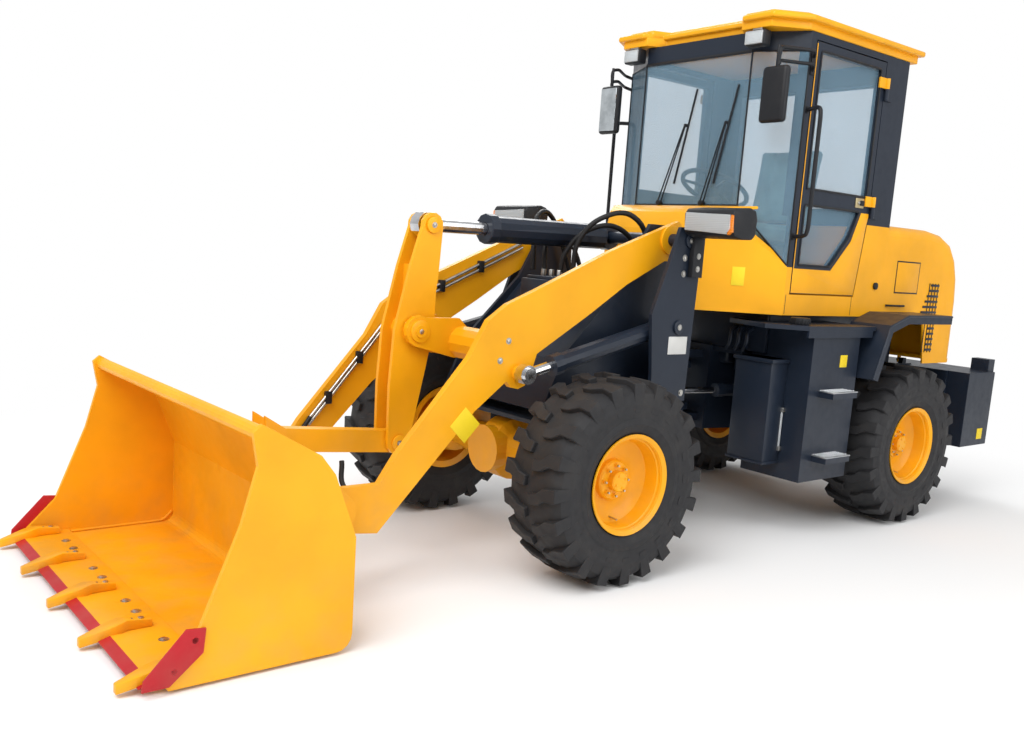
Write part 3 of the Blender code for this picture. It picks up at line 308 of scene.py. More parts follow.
@dataclass(frozen=True)
class Woven:
    """Cloth under a thin clear film: a weave, with the film's wrinkled sheen painted into the colour as pale
    patches.
    """

    name: str
    colour: Point
    thread: float = 420.0

    def make(self) -> bpy.types.Material:
        """Build the material."""
        nodes = Nodes(self.name)
        along = nodes.add("TexWave", Vector=nodes.coords, Scale=self.thread, Distortion=1.5)
        crosswise = nodes.add("TexWave", Vector=nodes.coords, Scale=self.thread, Distortion=1.5)
        crosswise.bands_direction = "Z"
        weave = nodes.product(along.outputs["Fac"], crosswise.outputs["Fac"])
        # painted sheen: this noise lightens the cloth colour in patches where the film would catch light, and
        # it also varies the roughness
        folds_and_painted_sheen = nodes.patchy(9.0, 5.0, (0.35, 0.65), (0.0, 1.0))
        pale = tuple(min(1.0, channel * 1.7) for channel in self.colour)
        nodes.link(nodes.blend(folds_and_painted_sheen, self.colour, pale), "Base Color")
        nodes.link(nodes.spread(folds_and_painted_sheen, (0.0, 1.0), (0.30, 0.55)), "Roughness")
        nodes.bump(weave, 0.12, 0.001)
        nodes.preset(Coat_Weight=0.5)
        return nodes.material


class Finish(Enum):
    """Every finish on the machine."""

    ORANGE = Paint("orange_paint", (0.95, 0.43, 0.006))
    BUCKET = Paint("bucket_paint", (0.95, 0.44, 0.008), roughness=0.40, dust=0.16, dust_height=0.4, coat=0.05)
    NAVY = Paint("navy_paint", (0.012, 0.019, 0.034), roughness=0.34, dust=0.03, peel=0.08, sheen=0.35)
    RED = Paint("red_paint", (0.50, 0.012, 0.020), roughness=0.36, dust=0.10)
    YELLOW_LABEL = Paint("yellow_label", (0.90, 0.66, 0.02), roughness=0.42, dust=0.0, coat=0.0)
    WHITE_LABEL = Paint("white_label", (0.62, 0.62, 0.60), roughness=0.42, dust=0.0, coat=0.0)
    TYRE = Moulded("tyre_rubber", (0.022, 0.022, 0.024), grain=0.30)
    HOSE = Moulded("hose_rubber", (0.010, 0.010, 0.011), dust=0.10, roughness=0.48)
    BLACK = Moulded("black_plastic", (0.012, 0.013, 0.016), dust=0.12, roughness=0.42)
    CHROME = Metal("rod_chrome", (0.80, 0.81, 0.83), roughness=0.10)
    STEEL = Metal("zinc_steel", (0.58, 0.57, 0.54), roughness=0.30)
    ALUMINIUM = Metal("tread_aluminium", (0.66, 0.68, 0.70), roughness=0.34)
    GOLD = Metal("pale_gold", (0.75, 0.62, 0.36), roughness=0.30)
    GLASS = Clear("window_glass", (0.30, 0.50, 0.66), alpha=0.25)
    LENS = Clear("lamp_lens", (0.80, 0.84, 0.86), alpha=0.55, ribs=40.0)
    AMBER = Clear("amber_lens", (0.90, 0.26, 0.02), alpha=0.92, ribs=30.0)
    MIRROR = Metal("mirror_silver", (0.78, 0.84, 0.88), roughness=0.03)
    SEAT = Woven("seat_cloth", (0.11, 0.19, 0.18))


class Palette:
    """Makes each finish's material once."""

    made: dict[Finish, bpy.types.Material] = {}

    @classmethod
    def get(cls, finish: Finish) -> bpy.types.Material:
        """The finish's material."""
        if finish not in cls.made:
            cls.made[finish] = finish.value.make()
        return cls.made[finish]


def coat(piece: Piece, finish: Finish) -> Piece:
    """Give a whole piece one finish."""
    piece.data.materials.clear()
    piece.data.materials.append(Palette.get(finish))
    return piece


# ---------------------------------------------------------------- the bench
class Bench:
    """Hand operations that every new piece is made with."""

    @staticmethod
    def only(piece: Piece) -> None:
        """Select one object and make it active."""
        bpy.ops.object.select_all(action="DESELECT")
        piece.select_set(True)
        bpy.context.view_layer.objects.active = piece

    @staticmethod
    def settle(name: str, piece: Piece) -> Piece:
        """Name a piece and bake its place into its mesh."""
        piece.name = name
        piece.data.name = name
        Bench.only(piece)
        bpy.ops.object.transform_apply(location=True, rotation=True, scale=True)
        return piece

    @staticmethod
    def bevel(piece: Piece, width: float, segments: int = 2, angle: float = 30.0) -> Piece:
        """Round a piece's sharp edges.

        Args:
            piece: the object to finish.
            width: the edge's width in metres.
            segments: facets across the edge.
            angle: the least angle of an edge that is rounded, in degrees.

        Returns:
            The same object, smooth shaded.
        """
        Bench.only(piece)
        if width > 0:
            modifier = piece.modifiers.new("edges", "BEVEL")
            modifier.width = width
            modifier.segments = segments
            modifier.limit_method = "ANGLE"
            modifier.angle_limit = math.radians(angle)
            bpy.ops.object.modifier_apply(modifier=modifier.name)
        bpy.ops.object.shade_smooth_by_angle(angle=math.radians(35))
        return piece

    @staticmethod
    def block(name: str, low: Vector, high: Vector, edge: float = 0.003, segments: int = 2) -> Piece:
        """A block between two corners with rounded edges."""
        bpy.ops.object.select_all(action="DESELECT")
        bpy.ops.mesh.primitive_cube_add(size=1.0, location=(Vector(low) + Vector(high)) / 2)
        piece = bpy.context.object
        piece.scale = [abs(b - a) for a, b in zip(low, high)]
        Bench.settle(name, piece)
        return Bench.bevel(piece, edge, segments)

    @staticmethod
    def slab(
        name: str, sign: int, x: Pair, y: Pair, z: Pair, edge: float = 0.003, segments: int = 2,
    ) -> Piece:
        """A block on one side of the machine, given from the front axle.

        Args:
            name: the piece's name.
            sign: the side's sign.
            x: its two distances from the middle.
            y: its two distances behind the front axle.
            z: its two heights.
            edge: width of the rounded edges.
            segments: facets across an edge.

        Returns:
            The finished object.
        """
        return Bench.block(name, at(sign * x[0], y[0], z[0]), at(sign * x[1], y[1], z[1]), edge, segments)

    @staticmethod
    def bar(
        name: str, start: Vector, end: Vector, radius: float, tip: float | None = None,
        vertices: int = 20, edge: float = 0.0015,
    ) -> Piece:
        """A round bar or cone from start to end with rounded rims."""
        start, end = Vector(start), Vector(end)
        along = end - start
        bpy.ops.object.select_all(action="DESELECT")
        bpy.ops.mesh.primitive_cone_add(
            vertices=vertices, radius1=radius, radius2=radius if tip is None else tip, depth=along.length,
            location=(start + end) / 2, rotation=along.to_track_quat("Z", "Y").to_euler(),
        )
        piece = Bench.settle(name, bpy.context.object)
        return Bench.bevel(piece, edge, 2, 40.0)

    @staticmethod
    def chain(points: Sequence[Pair]) -> Piece:
        """Draw an open line of points in XY, vertex by vertex, and stay in edit mode."""
        bpy.ops.object.select_all(action="DESELECT")
        bpy.ops.mesh.primitive_plane_add(size=0.01)
        piece = bpy.context.object
        bpy.ops.object.mode_set(mode="EDIT")
        bpy.ops.mesh.merge(type="CENTER")
        bpy.ops.transform.translate(value=(points[0][0], points[0][1], 0.0))
        for (a, b), (c, d) in zip(points, points[1:]):
            bpy.ops.mesh.extrude_vertices_move(TRANSFORM_OT_translate={"value": (c - a, d - b, 0.0)})
        bpy.ops.mesh.select_all(action="SELECT")
        return piece

    @staticmethod
    def extruded(outline: Sequence[Pair], height: float) -> Piece:
        """Fill a closed outline in XY and raise it by height."""
        piece = Bench.chain(outline)
        bpy.ops.mesh.edge_face_add()
        bpy.ops.mesh.extrude_region_move(TRANSFORM_OT_translate={"value": (0, 0, height)})
        bpy.ops.mesh.select_all(action="SELECT")
        bpy.ops.mesh.normals_make_consistent(inside=False)
        bpy.ops.object.mode_set(mode="OBJECT")
        return piece

    @staticmethod
    def turned(
        name: str, profile: Sequence[Pair], centre: Vector, axis: Point = (1, 0, 0), steps: int = 48,
    ) -> Piece:
        """Spin a closed or axis-to-axis profile of (radius, along) points round an axis."""
        piece = Bench.chain(profile)
        bpy.ops.mesh.spin(steps=steps, angle=2 * math.pi, center=(0, 0, 0), axis=(0, 1, 0))
        bpy.ops.mesh.select_all(action="SELECT")
        bpy.ops.mesh.remove_doubles(threshold=MERGE)
        bpy.ops.mesh.normals_make_consistent(inside=False)
        bpy.ops.object.mode_set(mode="OBJECT")
        turn = Vector((0, 1, 0)).rotation_difference(Vector(axis)).to_matrix().to_4x4()
        piece.matrix_world = Matrix.Translation(centre) @ turn
        Bench.settle(name, piece)
        bpy.ops.object.shade_smooth_by_angle(angle=math.radians(32))
        return piece

    @staticmethod
    def panel(
        name: str, outline: Sequence[Pair], span: Pair, plane: Plane = Plane.SIDE, edge: float = 0.003,
        segments: int = 2,
    ) -> Piece:
        """A flat outline, given from the front axle, with a thickness and rounded edges.

        Args:
            name: the piece's name.
            outline: points along the plane's two axes.
            span: low and high along the third axis.
            plane: the plane the outline lies in.
            edge: width of the rounded edges.
            segments: facets across an edge.

        Returns:
            The finished object.
        """
        piece = Bench.extruded(outline, abs(span[1] - span[0]))
        first, second, thick = (Vector(axis) for axis in plane.value)
        turn = Matrix((first, second, thick)).transposed().to_4x4()
        low = -max(span) if plane is Plane.FRONT else min(span)
        piece.matrix_world = Matrix.Translation(at(0, 0, 0) + thick * low) @ turn
        Bench.settle(name, piece)
        return Bench.bevel(piece, edge, segments)

    @staticmethod
    def recalculate(piece: Piece) -> None:
        """Make a piece's faces point outwards."""
        Bench.only(piece)
        bpy.ops.object.mode_set(mode="EDIT")
        bpy.ops.mesh.select_all(action="SELECT")
        bpy.ops.mesh.remove_doubles(threshold=MERGE)
        bpy.ops.mesh.normals_make_consistent(inside=False)
        bpy.ops.object.mode_set(mode="OBJECT")

    @staticmethod
    def tube(
        name: str, points: Iterable[Vector], radius: float, smooth: bool = True, rings: int = 4,
    ) -> Piece:
        """A pipe or hose through the points: smooth for a hose, cornered with small bends for a pipe."""
        route = [Vector(point) for point in points]
        if not smooth:
            route = Bench.eased(route, radius * 3.0)
        curve = bpy.data.curves.new(name, "CURVE")
        curve.dimensions = "3D"
        curve.bevel_depth = radius
        curve.bevel_resolution = rings // 2
        curve.use_fill_caps = True
        curve.resolution_u = 8
        spline = curve.splines.new("BEZIER" if smooth else "POLY")
        knots = spline.bezier_points if smooth else spline.points
        knots.add(len(route) - 1)
        for knot, place in zip(knots, route):
            knot.co = place if smooth else (*place, 1.0)
            if smooth:
                knot.handle_left_type = "AUTO"
                knot.handle_right_type = "AUTO"
        piece = bpy.data.objects.new(name, curve)
        bpy.context.scene.collection.objects.link(piece)
        Bench.only(piece)
        bpy.ops.object.convert(target="MESH")
        piece = bpy.context.object
        Bench.recalculate(piece)
        Bench.settle(name, piece)
        bpy.ops.object.shade_smooth_by_angle(angle=math.radians(50))
        return piece

    @staticmethod
    def eased(route: list[Vector], reach: float, steps: int = 4) -> list[Vector]:
        """Round each inner corner of a route with a short curve."""
        out = [route[0]]
        for before, corner, after in zip(route, route[1:], route[2:]):
            near = corner + (before - corner).normalized() * min(reach, (before - corner).length * 0.45)
            far = corner + (after - corner).normalized() * min(reach, (after - corner).length * 0.45)
            for number in range(steps + 1):
                t = number / steps
                out.append(near * (1 - t) ** 2 + corner * 2 * t * (1 - t) + far * t * t)
        return out + [route[-1]]

    @staticmethod
    def copy(piece: Piece, matrix: Matrix) -> Piece:
        """A copy with its own mesh, moved by matrix."""
        made = piece.copy()
        made.data = piece.data.copy()
        bpy.context.scene.collection.objects.link(made)
        made.data.transform(matrix)
        return made

    @staticmethod
    def join(name: str, pieces: Sequence[Piece]) -> Piece:
        """Join pieces, each with its own finish, into one."""
        bpy.ops.object.select_all(action="DESELECT")
        for piece in pieces:
            piece.select_set(True)
        bpy.context.view_layer.objects.active = pieces[0]
        if len(pieces) > 1:
            bpy.ops.object.join()
        joined = bpy.context.object
        joined.name = name
        joined.data.name = name
        return joined

    @staticmethod
    def bolt(place: Vector, axis: Vector, radius: float = 0.011, height: float = 0.008) -> Piece:
        """A hexagon head on a washer."""
        axis = Vector(axis).normalized()
        head = Bench.bar("bolt", place, place + axis * height, radius, vertices=6, edge=0.001)
        washer = Bench.bar("washer", place, place + axis * height * 0.3, radius * 1.45, vertices=14, edge=0.0)
        return Bench.join("bolt", [head, washer])


def bolts(places: Iterable[Vector], out: Vector, radius: float, height: float) -> list[Piece]:
    """A steel bolt at each place, its head facing out."""
    return [coat(Bench.bolt(place, out, radius, height), Finish.STEEL) for place in places]


def capped(place: Vector, out: Vector, disc: Pair, bolt: Pair, vertices: int = 28) -> list[Piece]:
    """A round cap and the bolt on it.

    Args:
        place: the middle of the cap's foot.
        out: the way it faces.
        disc: the cap's radius and thickness.
        bolt: the bolt head's radius and height.
        vertices: facets round the cap.

    Returns:
        The cap and the bolt in steel.
    """
    face = place + out * disc[1]
    cap = Bench.bar("cap", place, face, disc[0], vertices=vertices, edge=0.002)
    return [cap, *bolts([face], out, *bolt)]


def hang(
    piece: Piece, body: str, finish: Finish | None = None, replaces: Sequence[str] = (),
) -> Piece:
    """Finish a piece and hang it on a body.

    Args:
        piece: the object.
        body: the body that carries it.
        finish: its finish, or None where its parts are already coated.
        replaces: nodes it stands for.

    Returns:
        The same object.
    """
    if finish is not None:
        coat(piece, finish)
    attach(piece, body)
    if replaces:
        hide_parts(*replaces)
    LOG.info("%s rides on %s", piece.name, body)
    return piece


# ---------------------------------------------------------------- wheels
@dataclass
class Wheel:
    """A lugged tyre on a dished rim with its hub."""

    axle: str
    side: Side
    lugs: int = 20
    lug_depth: float = 0.026
    lug_root: float = 0.030
    crown: float = 0.55
    bead_radius: float = 0.203
    disc_out: float = 0.030
    studs: int = 8
    stud_circle: float = 0.068

    def __post_init__(self) -> None:
        """Read the wheel's place and size from its tyre's box."""
        self.key = f"{self.axle}_{self.side.label}"
        low, high = (Vector(corner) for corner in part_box(f"{self.key}_tyre"))
        self.centre = (low + high) / 2
        self.radius = (high.z - low.z) / 2
        self.half = (high.x - low.x) / 2

    def build(self) -> None:
        """Build the tyre and the rim and hang them on the wheel."""
        body = f"{self.key}_wheel"
        tyre = Bench.join(f"{self.key}_tyre_tread", [self.carcass(), *self.tread()])
        hang(tyre, body, Finish.TYRE, [f"{self.key}_tyre"])
        hang(self.rim(), body, None, [f"{self.key}_rim"])

    def carcass(self) -> Piece:
        """The tyre under its lugs, with a raised rim guard and sidewall rings."""
        base, half, bead = self.radius - self.lug_depth, self.half - 0.004, self.bead_radius + 0.001
        side = [
            (bead, half * 0.80), (0.226, half * 0.86), (0.240, half * 0.93), (0.262, half * 0.955),
            (0.268, half * 0.985), (0.290, half * 0.985), (0.296, half * 0.965), (0.345, half * 0.99),
            (0.352, half), (0.364, half), (0.370, half * 0.985), (0.405, half * 0.95),
            (base - 0.012, half * 0.84),
            (base, half * 0.66), (base + 0.004, half * 0.30),
        ]
        profile = side + [(radius, -along) for radius, along in reversed(side)]
        return Bench.turned("carcass", profile + [profile[0]], self.centre, steps=72)

    def lug(self, hand: int) -> Piece:
        """One tread bar: wide at the shoulder, bent back towards the middle.

        Args:
            hand: 1 for the outer half of the tread, -1 for the inner half.

        Returns:
            The bar at the top of the tyre, which is centred on the origin.
        """
        half = self.half
        outline = [
            (0.012, -0.020), (0.060, -0.012), (0.105, 0.020), (half * 0.92, 0.024), (half * 0.97, 0.030),
            (half * 0.97, -0.034), (half * 0.90, -0.038), (0.112, -0.036), (0.066, -0.062), (0.016, -0.066),
        ]
        piece = Bench.extruded([(x * hand, y) for x, y in outline], self.lug_depth + self.lug_root)
        piece.data.transform(Matrix.Translation((0, 0, self.radius - self.lug_depth - self.lug_root)))
        self.wrap(piece)
        return Bench.bevel(piece, 0.003, 1)

    def wrap(self, piece: Piece) -> None:
        """Bend a flat bar round the tyre and drop its shoulder down the sidewall."""
        half = self.half
        for vertex in piece.data.vertices:
            x, y, z = vertex.co
            reach = max(0.0, abs(x) / half - self.crown) / (1.0 - self.crown)
            top = z > self.radius - 0.010
            radius = z - (0.016 if top else 0.060) * reach**1.6
            if reach > 0.85:
                radius -= 0.0 if top else 0.030
            angle = y / self.radius
            vertex.co = (x, math.sin(angle) * radius, math.cos(angle) * radius)

    def tread(self) -> list[Piece]:
        """All the bars, the two halves half a pitch apart."""
        bars = []
        step = 2 * math.pi / self.lugs
        for hand, shift in ((1, 0.0), (-1, 0.5)):
            model = self.lug(hand * self.side.value)
            for number in range(self.lugs):
                turn = Matrix.Rotation(step * (number + shift), 4, "X")
                bars.append(Bench.copy(model, Matrix.Translation(self.centre) @ turn))
            bpy.data.objects.remove(model, do_unlink=True)
        return bars

    def rim(self) -> Piece:
        """The rim with a lock ring, a dished disc, the hub and its studs."""
        out, half, bead = self.side.value, self.half * 0.918, self.bead_radius
        disc = self.disc_out
        profile = [
            (0.0, disc + 0.066), (0.040, disc + 0.066), (0.046, disc + 0.060), (0.046, disc + 0.030),
            (0.082, disc + 0.028), (0.090, disc + 0.020), (0.094, disc), (0.118, disc - 0.004),
            (0.160, disc + 0.004), (bead - 0.014, disc + 0.030), (bead - 0.010, disc + 0.050),
            (bead - 0.006, half - 0.034), (bead - 0.001, half - 0.030), (bead + 0.003, half - 0.010),
            (bead + 0.016, half - 0.003), (bead + 0.022, half), (bead + 0.0225, half - 0.006),
            (bead + 0.014, half - 0.010), (bead, half - 0.016), (bead, -half + 0.016),
            (bead + 0.022, -half + 0.008),
            (bead + 0.022, -half), (bead - 0.010, -half + 0.010), (bead - 0.012, disc - 0.040),
            (0.160, disc - 0.022), (0.0, disc - 0.022),
        ]
        shell = Bench.turned("shell", [(r, a * out) for r, a in profile], self.centre, steps=64)
        coat(shell, Finish.ORANGE)
        parts = [shell]
        face = self.centre + Vector((out * (disc + 0.028), 0, 0))
        for number in range(self.studs):
            angle = 2 * math.pi * number / self.studs
            ring = Vector((0, math.cos(angle), math.sin(angle)))
            nut = Bench.bolt(face + ring * self.stud_circle, Vector((out, 0, 0)), 0.009, 0.010)
            stud = Bench.bar(
                "stud", face + ring * self.stud_circle,
                face + ring * self.stud_circle + Vector((out * 0.020, 0, 0)),
                0.005, vertices=8, edge=0.0,
            )
            parts += [coat(nut, Finish.ORANGE), coat(stud, Finish.STEEL)]
        hub_face = self.centre + Vector((out * (disc + 0.065), 0, 0))
        for number in range(4):
            angle = math.pi / 2 * number + 0.4
            spot = hub_face + Vector((0, math.cos(angle), math.sin(angle))) * 0.030
            parts.append(coat(Bench.bolt(spot, Vector((out, 0, 0)), 0.006, 0.005), Finish.ORANGE))
        valve = self.centre + Vector((out * (disc + 0.010), 0.0, -0.168))
        stem = Bench.bar(
            "valve", valve, valve + Vector((out * 0.050, 0, -0.004)), 0.004, vertices=8, edge=0.0
        )
        parts.append(coat(stem, Finish.STEEL))
        return Bench.join(f"{self.key}_wheel_rim", parts)


# ---------------------------------------------------------------- carried-over frame
@dataclass
class Chassis:
    """Finishes and softened edges for the nodes that keep their shape."""

    edge: float = 0.004
    finishes: dict[Finish, tuple[str, ...]] = field(default_factory=lambda: {
        Finish.ORANGE: (
            "front_axle", "rear_axle", "boom", "bellcrank", "dump_link", "quick_hitch", "cab_lower_body",
        ),
        Finish.BUCKET: ("bucket",),
        Finish.NAVY: (
            "front_frame", "rear_frame", "counterweight", "left_fuel_tank", "right_hydraulic_tank",
            "rear_fender_left", "rear_fender_right", "cab_frame", "left_door", "right_door", "engine_block",
            "lift_cylinder_left_barrel", "lift_cylinder_right_barrel", "tilt_cylinder_barrel",
            "steering_cylinder_left_barrel", "steering_cylinder_right_barrel",
        ),
        Finish.CHROME: (
            "lift_cylinder_left_rod", "lift_cylinder_right_rod", "tilt_cylinder_rod",
            "steering_cylinder_left_rod", "steering_cylinder_right_rod",
        ),
        Finish.GLASS: ("windscreen", "rear_window", "left_door_glass", "right_door_glass"),
        Finish.BLACK: ("steering_column", "steering_wheel"),
    })

    def build(self) -> None:
        """Dress every node that stays."""
        for finish, names in self.finishes.items():
            for name in names:
                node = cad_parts[name]
                coat(node, finish)
                self.soften(node, 0.0 if finish in (Finish.GLASS, Finish.CHROME) else self.edge)

    @staticmethod
    def soften(node: Piece, width: float) -> None:
        """Weld a node's loose faces and round its edges, as modifiers."""
        weld = node.modifiers.new("weld", "WELD")
        weld.merge_threshold = 0.00002
        if width:
            rounded = node.modifiers.new("edges", "BEVEL")
            rounded.width = width
            rounded.segments = 2
            rounded.limit_method = "ANGLE"
            rounded.angle_limit = math.radians(40)
            rounded.use_clamp_overlap = True
            rounded.harden_normals = False


# ---------------------------------------------------------------- bucket and linkage
@dataclass
class BucketFittings:
    """The cutting edge, the tooth shanks and their bolts, and the side cutters."""

    teeth: int = 5
    spacing: float = 0.412
    tooth_width: float = 0.075
    tip_y: float = -2.143
    nose_y: float = -2.048
    floor: float = 0.0283
    half: float = 0.853
    outer: float = 0.885

    def build(self) -> None:
        """Build the fittings in place of the plain edge node."""
        parts = [self.edge_plate()]
        for number in range(self.teeth):
            x = (number - (self.teeth - 1) / 2) * self.spacing
            limit = self.half - self.tooth_width / 2 - 0.004
            parts += self.tooth(max(-limit, min(limit, x)))
        for side in Side:
            parts += self.cutter(side)
        edge = Bench.join("bucket_edge_and_teeth", parts)
        hang(edge, "bucket", None, ["cutting_edge"])
        self.body_bolts()

    def edge_plate(self) -> Piece:
        """The bolted plate along the bucket's lip, with a red sharpened nose in front."""
        z, x = self.floor, (-self.half, self.half)
        flat = [(-1.850, z), (-1.850, z + 0.018), (self.nose_y, z + 0.018), (self.nose_y, z)]
        nose = [(self.nose_y, z), (self.nose_y, z + 0.0185), (-2.085, z + 0.003), (-2.085, z)]
        plate = coat(Bench.panel("edge", flat, x, edge=0.0015), Finish.BUCKET)
        return Bench.join("edge", [plate, coat(Bench.panel("nose", nose, x, edge=0.0), Finish.RED)])

    def tooth(self, x: float) -> list[Piece]:
        """One forked tooth with a waisted shank and two bolts."""
        z, w = self.floor, self.tooth_width / 2
        stem, neck, tip = w * 0.50, w * 0.85, w * 0.36
        right = [(stem, -1.900), (stem, -1.985), (neck, -2.010), (neck, -2.050), (tip, self.tip_y)]
        shank = [(x + a, y) for a, y in right] + [(x - a, y) for a, y in reversed(right)]
        body = Bench.panel("tooth", shank, (z + 0.0185, z + 0.058), Plane.TOP, edge=0.004)
        for vertex in body.data.vertices:
            along = vertex.co.y - at(0, -2.000, 0).y
            if along < 0:
                share = min(1.0, -along / (-2.000 - self.tip_y))
                top = vertex.co.z > z + 0.038
                vertex.co.z += (-0.042 if top else -0.0345) * share
            elif vertex.co.z > z + 0.038:
                vertex.co.z -= 0.012 * min(1.0, along / 0.09)
        coat(body, Finish.ORANGE)
        return [body, *bolts([at(x, y, z + 0.045) for y in (-1.935, -1.972)], UP, 0.011, 0.009)]

    def cutter(self, side: Side) -> list[Piece]:
        """A red cutter bolted outside the side plate."""
        s, z = side.value, self.floor
        outline = [
            (-2.085, z), (-2.080, 0.064), (-1.948, 0.206), (-1.885, 0.200), (-1.893, 0.120), (-2.000, z),
        ]
        span = across(s, 0.8755, self.outer - 0.001)
        blade = coat(Bench.panel("cutter", outline, span, edge=0.0015), Finish.RED)
        spots = [at(s * (self.outer - 0.008), y, height) for y, height in ((-1.920, 0.165), (-1.985, 0.075))]
        return [blade, *bolts(spots, Vector((s, 0, 0)), 0.012, 0.007)]

    def body_bolts(self) -> None:
        """Plug bolts along the bucket's floor and a raised weld along each side's foot."""
        parts = []
        for number in range(2 * (self.teeth - 1)):
            x = (number // 2 - (self.teeth - 2) / 2) * self.spacing + (0.060 if number % 2 else -0.060)
            parts += bolts([at(x, -1.905, self.floor + 0.0175)], UP, 0.013, 0.006)
        for s in SIGNS:
            route = [at(s * 0.852, y, z) for y, z in ((-1.84, 0.034), (-1.425, 0.034), (-1.380, 0.075))]
            parts.append(coat(Bench.tube("weld", route, 0.006, smooth=False, rings=2), Finish.BUCKET))
        hang(Bench.join("bucket_bolts_and_welds", parts), "bucket")


@dataclass
class BoomFittings:
    """Pins, pipes, clamps and hoses on the lift arms."""

    arm_x: float = 0.430
    arm_half: float = 0.016
    boom_pin: Pair = (0.560, 1.530)
    bucket_pin: Pair = (-1.200, 0.385)
    bellcrank_pin: Pair = (-0.631, 1.050)
    rod_pin: Pair = (-0.563, 1.518)
    link_pin: Pair = (-0.689, 0.543)

    def build(self) -> None:
        """Build the fittings and hang them on the boom, the bellcrank and the bucket."""
        hang(Bench.join("boom_pin_bosses", self.bosses()), "boom")
        hang(Bench.join("boom_pipes", self.pipes()), "boom")
        hang(Bench.join("boom_hoses", self.hoses()), "boom", Finish.HOSE)
        hang(Bench.join("bellcrank_caps", self.caps()), "bellcrank")
        hang(self.label(), "boom")

    def bosses(self) -> list[Piece]:
        """Round bosses with a keeper plate and bolts at each of the arms' pins."""
        parts = []
        for s in SIGNS:
            out = Vector((s, 0, 0))
            face = self.arm_x + self.arm_half
            for pin, sunk, thick, radius in (
                (self.bucket_pin, 0.002, 0.010, 0.060), (self.boom_pin, 0.001, 0.012, 0.070),
            ):
                place = at(s * (face - sunk), *pin)
                boss = Bench.bar("boss", place, place + out * thick, radius, vertices=32, edge=0.002)
                parts.append(coat(boss, Finish.ORANGE))
            spots = [at(s * (face - 0.001), y, z) for y, z in ((-0.440, 0.960), (-0.400, 1.045))]
            parts += bolts(spots, out, 0.010, 0.007)
        ear = 0.104
        for s in SIGNS:
            place = at(s * (ear - 0.001), *self.bellcrank_pin)
            keeper, bolt = capped(place, Vector((s, 0, 0)), (0.050, 0.010), (0.012, 0.008))
            parts += [coat(keeper, Finish.ORANGE), bolt]
        return parts

    def pipes(self) -> list[Piece]:
        """A pair of steel pipes along the inner face of each arm with clamps."""
        parts = []
        for s in SIGNS:
            for row, drop in ((0, 0.030), (1, 0.058)):
                x = s * (self.arm_x - self.arm_half - 0.012)
                route = [
                    at(x, 0.330, 1.505 - drop), at(x, 0.170, 1.430 - drop), at(x, -0.262, 1.235 - drop),
                    at(x, -0.440, 1.160 - drop), at(x, -0.560, 1.010 - drop), at(x, -0.900, 0.610 - drop),
                ]
                tube = Bench.tube("pipe", route, 0.008, smooth=False)
                parts.append(coat(tube, Finish.STEEL))
            for y, z in ((0.060, 1.335), (-0.180, 1.228), (-0.640, 0.870), (-0.800, 0.680)):
                low = at(s * (self.arm_x - self.arm_half - 0.024), y - 0.016, z - 0.030)
                high = at(s * (self.arm_x - self.arm_half + 0.001), y + 0.016, z + 0.030)
                clamp = Bench.block("clamp", low, high, 0.003)
                parts.append(coat(clamp, Finish.BLACK))
        return parts

    def hoses(self) -> list[Piece]:
        """Hoses that loop from the arms' pipes down to the bucket's hitch."""
        parts = []
        for s in SIGNS:
            x = s * (self.arm_x - self.arm_half - 0.012)
            route = [
                at(x, -0.890, 0.590), at(x * 0.96, -0.960, 0.500), at(x * 0.80, -1.020, 0.400),
                at(x * 0.62, -1.060, 0.420), at(x * 0.50, -1.050, 0.520),
            ]
            parts.append(Bench.tube("hose", route, 0.011))
        return parts

    def label(self) -> Piece:
        """A blank square label in line with the left arm."""
        slope = Matrix.Rotation(math.radians(46.0), 4, "X")
        plate = Bench.block("label", Vector((0, -0.055, -0.055)), Vector((0.002, 0.055, 0.055)), 0.0005)
        plate.data.transform(
            Matrix.Translation(at(self.arm_x + self.arm_half + 0.0002, -0.607, 0.689)) @ slope
        )
        return coat(plate, Finish.YELLOW_LABEL)

    def caps(self) -> list[Piece]:
        """Round caps with a bolt over the bellcrank's two end pins."""
        parts = []
        for s in SIGNS:
            for pin in (self.rod_pin, self.link_pin):
                cap, bolt = capped(at(s * 0.066, *pin), Vector((s, 0, 0)), (0.036, 0.008), (0.009, 0.006))
                parts += [coat(cap, Finish.ORANGE), bolt]
        return parts


